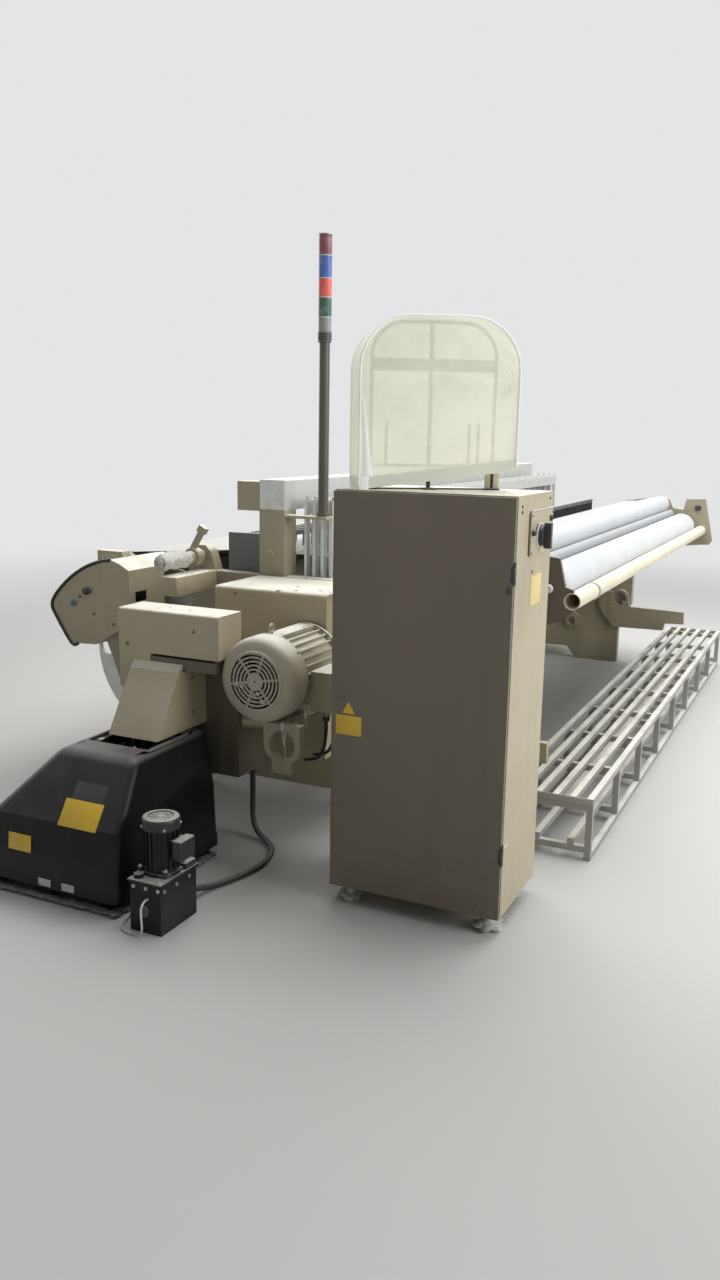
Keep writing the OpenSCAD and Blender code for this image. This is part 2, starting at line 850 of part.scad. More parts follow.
module drive_belt() color("#2e2c2b") place() {
    way = main_at - motor_at;
    gap = norm(way);
    turn = atan2(way[1], way[0]);
    lean = acos((small_pulley_r - big_pulley_r) / gap);
    mid = seat + belt_t / 2;
    prism_x(pulley_x + 2, pulley_x + belt_w - 2) union() {
        arc_band(motor_at, small_pulley_r + seat, small_pulley_r + seat + belt_t, turn + lean - 1, turn - lean + 361);
        arc_band(main_at, big_pulley_r + seat, big_pulley_r + seat + belt_t, turn - lean - 1, turn + lean + 1);
        for (side = [-1, 1]) {
            out = [cos(turn + side * lean), sin(turn + side * lean)];
            bar_between(motor_at + (small_pulley_r + mid) * out, main_at + (big_pulley_r + mid) * out, belt_t);
        }
    }
}

module main_shaft() color("#8f9193") place() {
    rod_x(main_r, pulley_x - 20, out1 - 4, main_at);
    difference() {
        rod_x(big_pulley_r, pulley_x, pulley_x + belt_w, main_at);
        for (turn = [0:60:300])
            rod_x(30, pulley_x - 1, pulley_x + belt_w + 1, main_at + 95 * [cos(turn), sin(turn)]);
    }
}

// Cam unit and its black cover

cam_x0 = -1250;
cam_x1 = -640;
cam_y0 = 50;
cam_y1 = 680;
slot_at = [-905, 237];

module cam_slab(x0, x1, y0, y1, z) {
    block([x0, y0, z], [x1, y1, z + 1]);
}

module cam_shape(inset) {
    hull() {
        cam_slab(cam_x0 + inset, cam_x1 - inset, cam_y0 + inset, cam_y1 - inset, 45 - inset);
        cam_slab(cam_x0 + 22 + inset, cam_x1 - 4 - inset, cam_y0 + 8 + inset, 600 - inset, 282 - inset);
    }
    hull() {
        cam_slab(cam_x0 + 22 + inset, cam_x1 - 4 - inset, cam_y0 + 8 + inset, 560 - inset, 280 - inset);
        cam_slab(-1090 + inset, cam_x1 - 20 - inset, 85 + inset, 410 - inset, cam_h - 1 - inset);
    }
}

module cam_cover() color("#232326") place() {
    difference() {
        cam_shape(0);
        translate([0, 0, -cam_wall]) cam_shape(cam_wall);
        block([slot_at[0] - 48, slot_at[1] - 110, cam_h - 40], [slot_at[0] + 70, slot_at[1] + 110, cam_h + 10]);
    }
}

module cam_unit() color("#6d6a64") place() {
    pivot_at = [-900, 290];
    rim_z = 45 - seat;
    block([cam_x0 + 30, cam_y0 + 30, 24], [cam_x1 - 30, cam_y1 - 30, rim_z]);
    for (x = [cam_x0 + 3, cam_x1 - 43])
        block([x, cam_y0 + 280, 24], [x + 40, cam_y0 + 340, rim_z]);
    for (y = [cam_y0 + 3, cam_y1 - 43])
        block([cam_x0 + 120, y, 24], [cam_x0 + 180, y + 40, rim_z]);
    for (x = [cam_x0 + 30, cam_x1 - 90])
        for (y = [cam_y0 + 30, cam_y1 - 90])
            block([x, y, 0], [x + 60, y + 60, 25]);
    block([cam_x0 + 90, cam_y0 + 90, rim_z - 1], [cam_x1 - 60, cam_y1 - 130, 270]);
    rod_y(30, cam_y0 + 100, cam_y1 - 160, pivot_at);
    for (i = [0:3])
        prism_y(duct_y0 + 25 + i * 45, duct_y0 + 33 + i * 45) union() {
            bar_between(pivot_at, [-852, duct_z0 + 45], 26);
            hole([-852, duct_z0 + 45], 13);
        }
}

// Pump unit

tank_y1 = -25;
tank_at = [pump_x + tank_l / 2, tank_y1 - tank_w / 2 + 4];
// Height of the hose's port on the tank
port_z = 40;

module pump_tank() color("#2b2c2e") place() {
    lip = 5;
    difference() {
        block([pump_x + lip, tank_y1 - tank_w + lip, 0], [pump_x + tank_l - lip, tank_y1 - lip, tank_h - 8]);
        block([pump_x + lip + 4, tank_y1 - tank_w + lip + 4, 4],
              [pump_x + tank_l - lip - 4, tank_y1 - lip - 4, tank_h - 12]);
    }
    block([pump_x, tank_y1 - tank_w, tank_h - 9], [pump_x + tank_l, tank_y1, tank_h]);
    rod_z(16, tank_h - 1, tank_h + 14, [pump_x + 26, tank_y1 - 26]);
    rod_x(hose_r + 5, pump_x + tank_l - lip - 1, pump_x + tank_l + 14, [tank_at[1], port_z]);
}

module pump_motor() color("#343638") place() {
    z0 = tank_h + seat;
    z1 = tank_h + pump_h;
    rod_z(pump_r + 1, z0, z0 + 10, tank_at);
    rod_z(pump_r - 6, z0 + 9, z1 - 20, tank_at);
    for (i = [0:17])
        translate([tank_at[0], tank_at[1], 0]) rotate([0, 0, i * 20])
            block([pump_r - 8, -1.5, z0 + 20], [pump_r, 1.5, z1 - 30]);
    rod_z(pump_r, z1 - 34, z1, tank_at);
    block([tank_at[0] - 24, tank_at[1] - pump_r - 34, z0 + 60], [tank_at[0] + 36, tank_at[1] - pump_r + 9, z0 + 120]);
}

// Sweeps a tube of sides points along a route
function unit(v) = v / norm(v);
function way_at(path, i) =
    unit(path[min(i + 1, len(path) - 1)] - path[max(i - 1, 0)]);
function side_of(way) =
    abs(way[2]) > 0.9 ? unit(cross(way, [0, 1, 0])) : unit(cross(way, [0, 0, 1]));
function ring_of(p, way, r, sides) =
    let (a = side_of(way), b = cross(a, way))
    [for (k = [0:sides - 1]) p + r * (cos(360 * k / sides) * a + sin(360 * k / sides) * b)];
// Points on a smooth curve through the route, steps to each stretch
function curve_point(p, q, r, s, t) =
    0.5 * ((2 * q) + (r - p) * t + (2 * p - 5 * q + 4 * r - s) * t * t + (3 * q - p - 3 * r + s) * t * t * t);
function smooth(route, steps) =
    let (n = len(route))
    concat(
        [for (i = [0:n - 2]) for (j = [0:steps - 1])
            curve_point(route[max(i - 1, 0)], route[i], route[i + 1], route[min(i + 2, n - 1)], j / steps)],
        [route[n - 1]]
    );

module tube(route, r, sides, steps) {
    path = smooth(route, steps);
    rings = len(path);
    points = [for (i = [0:rings - 1]) each ring_of(path[i], way_at(path, i), r, sides)];
    walls = [for (i = [0:rings - 2]) for (k = [0:sides - 1])
        let (m = (k + 1) % sides)
        [i * sides + k, i * sides + m, (i + 1) * sides + m, (i + 1) * sides + k]];
    end_0 = [[for (k = [sides - 1:-1:0]) k]];
    end_1 = [[for (k = [0:sides - 1]) (rings - 1) * sides + k]];
    polyhedron(points = points, faces = concat(walls, end_0, end_1));
}

// The hose leaves the tank's side, lies on the floor and rises into the gear case
hose_from = [pump_x + tank_l + 14 + 2 * seat, tank_at[1], port_z];
hose_route = [
    hose_from, hose_from + [44, -1, -1], hose_from + [87, -3, -10], [-942, -95, 18], [-900, -107, 13],
    [-858, -121, 12], [-817, -135, 12], [-774, -146, 12], [-731, -153, 12], [-687, -156, 12],
    [-643, -152, 12], [-600, -143, 12], [-559, -127, 12], [-522, -104, 12], [-490, -74, 12], [-463, -39, 13],
    [-441, -2, 19], [-422, 30, 42], [-409, 46, 80], [-404, 50, 124], [-403, 50, 168], [-403, 50, 212],
    [-403, 50, 256], [-403, 50, case_z0 - seat]
];

// The cable hangs in a loop before the tank and ends at the cam unit's base
cable_route = [
    [pump_x + 5 - 2 * seat, -100, 118], [pump_x - 14, -100, 117], [pump_x - 28, -100, 105], [pump_x - 33, -101, 86],
    [pump_x - 34, -102, 67], [pump_x - 32, -102, 48], [pump_x - 31, -101, 28], [pump_x - 28, -93, 11],
    [pump_x - 27, -75, 4], [pump_x - 26, -56, 4], [pump_x - 23, -37, 4], [pump_x - 17, -19, 4],
    [pump_x - 6, -3, 4], [pump_x + 10, 8, 4], [pump_x + 28, 15, 4], [pump_x + 47, 19, 6],
    [pump_x + 65, 23, 11], [pump_x + 82, 28, 17], [pump_x + 99, 35, 25], [pump_x + 113, 46, 31],
    [pump_x + 124, 62, 34], [pump_x + 130, cam_y0 + 28.6, 34]
];

module pump_hose() color("#3a3836") place() tube(hose_route, hose_r, 10, 2);

module pump_cable() color("#d9d9d4") place() tube(cable_route, cable_r, 8, 2);

// Control cabinet

module cabinet_body() color("#b8ad98") place() {
    x1 = cab_x + cab_d;
    y1 = cab_y + cab_w;
    w = cab_wall;
    difference() {
        block([cab_front, cab_y, cab_foot_h], [x1, y1, cab_top]);
        block([cab_front - 1, cab_y + 20, cab_foot_h + 30], [cab_front + 20, y1 - 20, cab_top - 30]);
        block([cab_front + w, cab_y + w, cab_foot_h + w], [x1 - w, y1 - w, cab_top - w]);
    }
    for (z = hinge_zs) {
        rod_z(6, z - 22, z + 22, [cab_x, cab_y]);
        block([cab_x, cab_y - 4 - seat, z - 22], [cab_x + 60, cab_y - seat, z + 22]);
        block([cab_x + 40, cab_y - seat - 1, z - 20], [cab_x + 58, cab_y + 1, z + 20]);
    }
}

hinge_zs = [cab_foot_h + 220, cab_top - 230];

module cabinet_door() color("#a2957f") place() {
    x1 = cab_x + door_t;
    y1 = cab_y + cab_w;
    difference() {
        block([cab_x, cab_y, cab_foot_h + 4], [x1, y1, cab_top - 4]);
        block([cab_x + 2, cab_y + 14, cab_foot_h + 18], [x1 + 1, y1 - 14, cab_top - 18]);
        for (z = hinge_zs)
            rod_z(6.5, z - 23, z + 23, [cab_x, cab_y]);
    }
    rod_x(9, cab_x - 4, cab_x + 3, [y1 - 40, (cab_foot_h + cab_top) / 2]);
}

module cabinet_feet() color("#8d8a84") place() {
    inset = 50;
    for (x = [cab_front + inset, cab_x + cab_d - inset])
        for (y = [cab_y + inset, cab_y + cab_w - inset]) {
            rod_z(28, 0, 12, [x, y]);
            rod_z(18, 11, 30, [x, y]);
            rod_z(14, 29, cab_foot_h, [x, y]);
        }
}

module cabinet_modules() color("#cfd1d2") place() {
    x1 = cab_x + cab_d - cab_wall;
    block([x1 - 30, cab_y + 40, 120], [x1 - 27, cab_y + cab_w - 40, cab_top - 60]);
    for (z = [160, 1200])
        for (y = [cab_y + 60, cab_y + cab_w - 90])
            block([x1 - 28, y, z], [x1, y + 30, z + 30]);
    block([x1 - 190, cab_y + 70, 200], [x1 - 29, cab_y + 330, 520]);
    block([x1 - 150, cab_y + 350, 200], [x1 - 29, cab_y + 520, 480]);
    block([x1 - 170, cab_y + 70, 600], [x1 - 29, cab_y + 250, 900]);
    for (i = [0:4])
        block([x1 - 110, cab_y + 280 + i * 50, 620], [x1 - 29, cab_y + 322 + i * 50, 760]);
    block([x1 - 60, cab_y + 70, 960], [x1 - 29, cab_y + 520, 1010]);
    block([x1 - 130, cab_y + 90, 1080], [x1 - 29, cab_y + 500, 1180]);
}

plate_x0 = -665;
plate_x1 = -420;
plate_z0 = 1212;
plate_z1 = 1348;
switch_at = [-565, 1270];

module switch_plate() color("#c2b8a3") place() {
    y1 = cab_y - seat;
    difference() {
        block([plate_x0, y1 - 6, plate_z0], [plate_x1, y1, plate_z1]);
        rod_y(13 + running, y1 - 7, y1 + 1, switch_at);
    }
    rod_y(8, y1 - 10, y1 - 5, [plate_x1 - 30, plate_z1 - 30]);
}

module main_switch() color("#35363a") place() {
    y1 = cab_y - seat;
    rod_y(13, y1 - 8, y1, switch_at);
    rod_y(34, y1 - 22, y1 - 6 - seat, switch_at);
    block([switch_at[0] - 9, y1 - 44, switch_at[1] - 40], [switch_at[0] + 9, y1 - 21, switch_at[1] + 40]);
}

// Hood on the cabinet

hood_at = [-610, -754];
hood_rise = 62;
hood_r = 160;
// Bend of the frame's rods under the hood's round corners
rod_bend = hood_r - 52;
rod_r = 6;
leg_span = 200;

module on_hood() {
    translate([hood_at[0], hood_at[1], cab_top + seat]) rotate([0, 0, hood_turn]) children();
}

module hood_outline(w, low, h, r) {
    polygon([[-w / 2, low + hood_rise], [w / 2, low], [w / 2, h - r], [-w / 2, h - r]]);
    rect([-w / 2 + r, h - r - 1], [w / 2 - r, h]);
    hole([-w / 2 + r, h - r], r);
    hole([w / 2 - r, h - r], r);
}

module dust_hood() color("#e8e8e0") place() on_hood() {
    w = hood_wall;
    difference() {
        prism_x(-hood_d / 2, hood_d / 2) hood_outline(hood_w, 4, hood_h, hood_r);
        prism_x(-hood_d / 2 + w, hood_d / 2 - w) hood_outline(hood_w - 2 * w, -4, hood_h - w, hood_r - w);
    }
}

module hood_frame() color("#8f8f8c") place() on_hood() {
    top = hood_h - hood_wall - seat - rod_r;
    for (y = [-leg_span, leg_span]) {
        block([-20, y - 22, 0], [20, y + 22, 5]);
        rod_z(rod_r, 4, top - rod_bend, [0, y]);
    }
    block([-3, -leg_span - 22, 4], [3, -leg_span + 22, 75]);
    rod_y(rod_r, -leg_span + rod_bend, leg_span - rod_bend, [0, top]);
    for (side = [-1, 1])
        translate([0, side * (leg_span - rod_bend), top - rod_bend]) rotate([90, 0, 90])
            rotate([0, 0, side > 0 ? 0 : 90])
                rotate_extrude(angle = 90) translate([rod_bend, 0]) circle(rod_r);
    rod_z(rod_r + 1, 4, top + 1, [0, 10]);
    block([-30, -12, 0], [30, 32, 5]);
    block([-2.5, -leg_span, top - 150], [2.5, leg_span, top - 112]);
    for (y = [-150, -120, 150])
        rod_z(5, 72, 210, [0, y]);
    rod_y(5, -leg_span, leg_span, [0, 76]);
}

// Signal tower

module signal_pole() color("#9b958a") place() {
    arm_top = 1237;
    rod_z(pole_r + 6, arm_top, arm_top + 14, tower_at);
    rod_z(pole_r, arm_top + 13, lens_z + 1, tower_at);
    rod_z(lens_r, lens_z, lens_z + collar_h - seat, tower_at);
}

function stack_z(i) = i == 0 ? lens_z + collar_h : stack_z(i - 1) + lens_heights[i - 1];

module signal_lenses() color("#d23b32") place() {
    for (i = [0:4])
        rod_z(lens_r, stack_z(i), stack_z(i) + lens_heights[i] - 1.5, tower_at);
    rod_z(lens_r - 3, stack_z(0), stack_z(5) - 1, tower_at);
}

// Warp let-off cover, far end cover, weft feeders

module let_off_outline(inset) {
    polygon([
        [753 + inset, 987 - inset], [800, 1012 - inset], [850, 1028 - inset], [900, 1020 - inset],
        [980, 992 - inset], [1060, 945 - inset], [1130, 885 - inset], [1172 - inset, 835],
        [1180 - inset, 800], [1160 - inset, 760], [1078 - inset, 643 + inset], [943, 650 + inset],
        [821, 718 + inset], [753 + inset, 760 + inset]
    ]);
}

module let_off_cover() color("#cbc2a9") place() {
    w = cover_wall;
    difference() {
        prism_x(-250, -seat) let_off_outline(0);
        prism_x(-250 + w, 1) let_off_outline(w);
    }
    prism_x(-10, in0 + 68) polygon([
        [753, 987], [800, 1012], [850, 1028], [900, 1020], [940, 1005], [940, 1000], [900, 1015], [850, 1023],
        [801, 1007], [754, 982]
    ]);
}

module far_end_cover() color("#c6bda7") place() {
    x0 = out1 + 2;
    x1 = out1 + far_cover_l;
    w = cover_wall;
    top = frame_h - 20;
    difference() {
        union() {
            prism_x(x0, x1) round_top([-260, 360], [420, top], cover_round + 20);
            prism_x(x0, x0 + 200) round_top([419, 420], [1000, top - 100], cover_round);
        }
        prism_x(x0 - 1, x1 - w) round_top([-260 + w, 360 + w], [420 - w, top - w], cover_round + 20 - w);
        prism_x(x0 - 1, x0 + 200 - w) round_top([419 + w, 420 + w], [1000 - w, top - 100 - w], cover_round - w);
    }
    for (y = [-240, 380])
        block([out1, y, 361], [out1 + 20, y + 20, 380]);
    block([out1, 960, 421], [out1 + 20, 980, 440]);
}

module weft_feeders() color("#4a4c50") place() {
    for (x = [-300, -170]) {
        rod_y(52, -490, -360, [x, warp_z + 130]);
        rod_y(40, -361, -290, [x, warp_z + 130]);
        block([x - 12, -440, warp_z], [x + 12, -410, warp_z + 81]);
    }
    block([-330, -445, warp_z - 20], [20, -405, warp_z + 2]);
    block([0, -445, frame_h], [40, -405, warp_z + 2]);
    block([10, -430, warp_z + 1], [30, -342, warp_z + 9]);
    rod_x(7, -40, in0 + 58, [-350, warp_z + 15]);
}

// Weaver's step

module weaver_step() color("#c3c5c4") place() {
    x0 = -59;
    x1 = x0 + step_l;
    y0 = step_y;
    y1 = step_y + step_d;
    t = step_tube;
    post_pitch = (step_l - t) / (step_posts - 1);
    slat_pitch = (step_d - t) / (step_slats - 1);
    for (i = [0:step_slats - 1])
        block([x0, y0 + i * slat_pitch, step_h - t], [x1, y0 + i * slat_pitch + t, step_h]);
    for (i = [0:step_posts - 1]) {
        x = x0 + i * post_pitch;
        block([x, y0, step_h - 2 * t], [x + t, y1, step_h - t + 1]);
        block([x, y0, 0], [x + t, y0 + t, step_h - 2 * t + 1]);
        block([x, y1 - t, 0], [x + t, y1, step_h - 2 * t + 1]);
        block([x, y0 + 1, 30], [x + t, y1 - 1, 30 + t]);
    }
    for (i = [1:2:step_slats - 2])
        block([x0, y0 + i * slat_pitch, 30 + t - 1], [x1, y0 + i * slat_pitch + t, 30 + 2 * t]);
}

near_side_frame();
far_side_frame();
lower_cross_beam();
rear_cross_beam();
breast_beam();
top_beam();
near_column();
far_column();
cam_unit();
cam_cover();
linkage_duct();
gear_case();
gear_cover();
drive_cover();
motor_body();
fan_cowl();
motor_rotor();
terminal_box();
motor_bracket();
drive_belt();
main_shaft();
pump_tank();
pump_motor();
pump_hose();
pump_cable();
cabinet_body();
cabinet_door();
cabinet_feet();
cabinet_modules();
main_switch();
switch_plate();
hood_frame();
dust_hood();
signal_pole();
signal_lenses();
near_roll_bracket();
far_roll_bracket();
take_up_roller();
press_roller();
cloth_core();
cloth_roll();
front_bar();
cloth_web();
sley();
reed();
heald_frame_1();
heald_frame_2();
heald_frame_3();
heald_frame_4();
warp_sheet();
warp_shed();
warp_beam();
warp_yarn();
backrest_roller();
drop_wires();
stop_lever();
let_off_cover();
far_end_cover();
weft_feeders();
weaver_step();
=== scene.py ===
"""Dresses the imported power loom: painted casings, cast and moulded parts, cloth, yarn, lint and the stage."""

import json
import math
import random

import bmesh
import bpy
from mathutils import Matrix, Vector, noise

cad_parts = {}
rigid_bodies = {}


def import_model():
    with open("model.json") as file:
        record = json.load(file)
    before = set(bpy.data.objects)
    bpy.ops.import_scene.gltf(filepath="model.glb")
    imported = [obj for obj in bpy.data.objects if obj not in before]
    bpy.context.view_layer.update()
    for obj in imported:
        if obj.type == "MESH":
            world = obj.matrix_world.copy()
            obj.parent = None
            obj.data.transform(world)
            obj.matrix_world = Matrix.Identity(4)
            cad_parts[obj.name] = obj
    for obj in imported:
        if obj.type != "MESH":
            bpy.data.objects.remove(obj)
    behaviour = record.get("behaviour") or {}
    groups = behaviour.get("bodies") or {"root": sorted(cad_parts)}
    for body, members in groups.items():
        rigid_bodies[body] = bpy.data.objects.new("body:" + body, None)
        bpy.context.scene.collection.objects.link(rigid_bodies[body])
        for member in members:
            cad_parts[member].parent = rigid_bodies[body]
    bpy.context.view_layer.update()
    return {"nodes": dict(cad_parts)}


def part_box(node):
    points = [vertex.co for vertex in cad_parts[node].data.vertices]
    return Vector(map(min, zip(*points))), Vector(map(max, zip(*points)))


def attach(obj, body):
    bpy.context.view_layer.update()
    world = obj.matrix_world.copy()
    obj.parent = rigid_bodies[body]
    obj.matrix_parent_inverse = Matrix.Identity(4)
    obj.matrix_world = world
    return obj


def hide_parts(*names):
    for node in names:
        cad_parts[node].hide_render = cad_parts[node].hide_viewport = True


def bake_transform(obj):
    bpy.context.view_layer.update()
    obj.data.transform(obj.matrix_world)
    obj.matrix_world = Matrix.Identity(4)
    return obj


bl_info = {
    "name": "Power loom dressing",
    "version": (1, 0, 0),
    "blender": (4, 5, 0),
    "location": "View3D > Sidebar > Power loom",
    "description": "Finishes, cloth, yarn and fittings of a wide air-jet power loom",
    "category": "Object",
}

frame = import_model()
MM = 0.001
NEAR_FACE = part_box("near_side_frame")[0].x
FAR_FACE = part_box("far_side_frame")[1].x
UP = Vector((0, 0, 1))


def spot(x, y, z):
    """A point from millimetres: x from the near side frame's outer face, y from the middle, z from the floor."""
    return Vector((NEAR_FACE + x * MM, y * MM, z * MM))


# Sizes and colours that a user may change


def colour_prop(name, description, value):
    return bpy.props.FloatVectorProperty(
        name=name, description=description, subtype="COLOR", size=3, min=0, max=1, default=value
    )


def length_prop(name, description, value, low, high):
    return bpy.props.FloatProperty(
        name=name, description=description, subtype="DISTANCE", unit="LENGTH", default=value, min=low, max=high
    )


class LoomColours(bpy.types.PropertyGroup):
    """Colours of the finishes, as linear values."""

    sheet: colour_prop("Beige sheet", "Paint of the covers and the cabinet", (0.45, 0.40, 0.27))
    # The door's colour is darker than the sheet's: partly a darker paint, partly painted shade.
    door: colour_prop("Door", "Paint of the cabinet's door", (0.165, 0.138, 0.098))
    casting: colour_prop("Beige castings", "Paint of the frames and brackets", (0.35, 0.315, 0.22))
    # The near bracket's brown is the castings' beige darkened: painted shade.
    bracket: colour_prop("Brown bracket", "Paint of the near roll bracket", (0.12, 0.098, 0.075))
    cream: colour_prop("Cream bar", "Paint of the front bar", (0.72, 0.67, 0.50))
    enamel: colour_prop("Motor enamel", "Paint of the motor", (0.43, 0.40, 0.31))
    moulding: colour_prop("Black moulding", "Plastic of the cam unit's cover", (0.008, 0.0078, 0.0088))
    dark: colour_prop("Dark metal", "Blackened steel and iron", (0.035, 0.035, 0.038))
    steel: colour_prop("Steel", "Bare steel", (0.42, 0.42, 0.43))
    # Darker than the step's pale paint: partly painted shade on its sides.
    step: colour_prop("Step paint", "Pale worn paint of the step", (0.33, 0.32, 0.30))
    cloth: colour_prop("Cloth", "Woven white cloth", (0.53, 0.55, 0.57))
    hood: colour_prop("Hood cloth", "Thin pale cloth of the hood", (0.95, 0.955, 0.83))
    yarn: colour_prop("Yarn", "Raw warp yarn", (0.70, 0.69, 0.65))
    dust: colour_prop("Lint", "Loose fibre fluff", (0.68, 0.67, 0.62))
    powder: colour_prop("Dust", "Fine dust on the tops", (0.86, 0.84, 0.76))
    yellow: colour_prop("Plates", "Blank yellow plates", (0.73, 0.48, 0.045))


class LoomSizes(bpy.types.PropertyGroup):
    """Sizes of the finishing work."""

    fold: length_prop("Sheet folds", "Outside radius of the folded sheet edges", 0.0025, 0.0005, 0.006)
    cast_edge: length_prop("Cast edges", "Radius of the castings' edges", 0.003, 0.0005, 0.008)
    yarn_pitch: length_prop("Yarn pitch", "Distance between two ribbons of warp yarn", 0.010, 0.006, 0.03)
    heddle_pitch: length_prop("Heddle pitch", "Distance between two heddles", 0.020, 0.010, 0.05)
    tufts: bpy.props.IntProperty(
        name="Lint tufts", description="Lint tufts on one square metre of upward faces", default=70, min=0, max=400
    )
    seed: bpy.props.IntProperty(name="Seed", description="Seed of the lint and the wrinkles", default=7, min=0)


def colours():
    return bpy.context.scene.loom_colours


def sizes():
    return bpy.context.scene.loom_sizes


# Node trees


class Tree:
    """Adds nodes to a tree. An input is a plain value or another node's output."""

    def __init__(self, tree):
        self.tree = tree

    def add(self, kind, inputs=(), out=0, **settings):
        node = self.tree.nodes.new(kind)
        for name, value in settings.items():
            setattr(node, name, value)
        for key, value in dict(inputs).items():
            if isinstance(value, bpy.types.NodeSocket):
                self.tree.links.new(value, node.inputs[key])
            else:
                node.inputs[key].default_value = value
        return node.outputs[out] if node.outputs else node

    def maths(self, operation, a, b=0.0):
        return self.add("ShaderNodeMath", {0: a, 1: b}, operation=operation)

    def step(self, value, low, high, to_low=0.0, to_high=1.0):
        inputs = {"Value": value, "From Min": low, "From Max": high, "To Min": to_low, "To Max": to_high}
        return self.add("ShaderNodeMapRange", inputs, interpolation_type="SMOOTHSTEP")

    def noise(self, vector, scale, detail=3.0):
        return self.add("ShaderNodeTexNoise", {"Vector": vector, "Scale": scale, "Detail": detail})

    def mix(self, share, a, b, blend="MIX"):
        return self.add(
            "ShaderNodeMix", {0: share, 6: a, 7: b}, out=2, data_type="RGBA", blend_type=blend
        )

    def stretch(self, vector, x, y, z):
        return self.add("ShaderNodeVectorMath", {0: vector, 1: (x, y, z)}, operation="MULTIPLY")

    def parts(self, vector):
        node = self.tree.nodes.new("ShaderNodeSeparateXYZ")
        self.tree.links.new(vector, node.inputs[0])
        return node.outputs

    def place(self, name="Object"):
        node = self.tree.nodes.new("ShaderNodeTexCoord")
        return node.outputs[name]


def rgba(colour):
    return (*colour[:3], 1.0)


def new_group(name, inputs, outputs):
    """A shader node group. Inputs are (name, kind, default), outputs are (name, kind)."""
    tree = bpy.data.node_groups.new(name, "ShaderNodeTree")
    for label, kind, default in inputs:
        socket = tree.interface.new_socket(name=label, in_out="INPUT", socket_type="NodeSocket" + kind)
        if default is not None:
            socket.default_value = default
    for label, kind in outputs:
        tree.interface.new_socket(name=label, in_out="OUTPUT", socket_type="NodeSocket" + kind)
    source = tree.nodes.new("NodeGroupInput")
    sink = tree.nodes.new("NodeGroupOutput")
    return Tree(tree), source.outputs, sink.inputs


def group_dust():
    """Fibre dust on faces that look up, and faint flecks of it on walls near the floor."""
    inputs = [("Amount", "Float", 0.5), ("Scale", "Float", 6.0), ("Walls", "Float", 0.10)]
    t, given, put = new_group("Settled dust", inputs, [("Mask", "Float")])
    upward = t.step(t.parts(t.place("Normal"))[2], 0.42, 0.95)
    patches = t.noise(t.place(), given["Scale"], 5.0)
    top = t.maths("MULTIPLY", upward, t.step(patches, 0.25, 0.6, 0.55, 1.0))
    low = t.step(t.parts(t.place())[2], 0.0, 0.40, 1.0, 0.0)
    flecks = t.step(t.noise(t.place(), 55.0, 6.0), 0.56, 0.80)
    soft = t.step(t.noise(t.stretch(t.place(), 4.0, 4.0, 9.0), 1.0, 4.0), 0.42, 0.72, 0.0, 0.6)
    walls = t.maths("MULTIPLY", t.maths("MULTIPLY", low, t.maths("MAXIMUM", flecks, soft)), given["Walls"])
    both = t.maths("ADD", t.maths("MULTIPLY", top, given["Amount"]), walls)
    t.tree.links.new(t.maths("MINIMUM", both, 1.0), put["Mask"])
    return t.tree


def group_wear():
    """Broken paint along sharp edges, from the difference between a rounded and the true normal."""
    inputs = [("Width", "Float", 0.004), ("Amount", "Float", 0.5)]
    t, given, put = new_group("Edge wear", inputs, [("Mask", "Float")])
    soft = t.add("ShaderNodeBevel", {"Radius": given["Width"]}, samples=4)
    true = t.add("ShaderNodeNewGeometry", out=1)
    away = t.add("ShaderNodeVectorMath", {0: soft, 1: true}, out=1, operation="DOT_PRODUCT")
    edge = t.step(t.maths("SUBTRACT", 1.0, away), 0.015, 0.12)
    broken = t.step(t.noise(t.place(), 38.0, 6.0), 0.50, 0.62)
    both = t.maths("MULTIPLY", t.maths("MULTIPLY", edge, broken), given["Amount"])
    t.tree.links.new(t.maths("MINIMUM", both, 1.0), put["Mask"])
    return t.tree


def group_film():
    """A sprayed paint film: cloudy colour, vertical runs of dirt, rubbed spots and orange peel."""
    inputs = [("Colour", "Color", None), ("Cloud", "Float", 0.12), ("Dirt", "Float", 0.3)]
    outputs = [("Colour", "Color"), ("Height", "Float"), ("Dirty", "Float")]
    t, given, put = new_group("Paint film", inputs, outputs)
    cloud = t.step(t.noise(t.place(), 2.3, 4.0), 0.25, 0.75, -0.5, 0.5)
    shade = t.maths("ADD", 1.0, t.maths("MULTIPLY", cloud, given["Cloud"]))
    grey = t.add("ShaderNodeCombineColor", {0: shade, 1: shade, 2: shade})
    paint = t.mix(1.0, given["Colour"], grey, "MULTIPLY")
    runs = t.step(t.noise(t.stretch(t.place(), 9.0, 9.0, 0.9), 1.0, 5.0), 0.52, 0.78)
    spots = t.step(t.noise(t.place(), 17.0, 5.0), 0.64, 0.80, 0.0, 0.6)
    dirty = t.maths("MULTIPLY", t.maths("MAXIMUM", runs, spots), given["Dirt"])
    brown = t.mix(1.0, paint, (0.50, 0.44, 0.34, 1.0), "MULTIPLY")
    t.tree.links.new(t.mix(dirty, paint, brown), put["Colour"])
    peel = t.maths("ADD", t.noise(t.place(), 420.0, 1.0), t.maths("MULTIPLY", t.noise(t.place(), 60.0, 2.0), 0.6))
    t.tree.links.new(peel, put["Height"])
    t.tree.links.new(dirty, put["Dirty"])
    return t.tree


def group_weave():
    """Plain weave on a map in metres."""
    t, given, put = new_group("Weave", [("Map", "Vector", None), ("Pitch", "Float", 0.0012)], [("Height", "Float")])
    across = t.maths("DIVIDE", t.parts(given["Map"])[0], given["Pitch"])
    down = t.maths("DIVIDE", t.parts(given["Map"])[1], given["Pitch"])
    over = t.maths("SINE", t.maths("MULTIPLY", across, math.pi))
    under = t.maths("SINE", t.maths("MULTIPLY", down, math.pi))
    t.tree.links.new(t.maths("ABSOLUTE", t.maths("MULTIPLY", over, under)), put["Height"])
    return t.tree


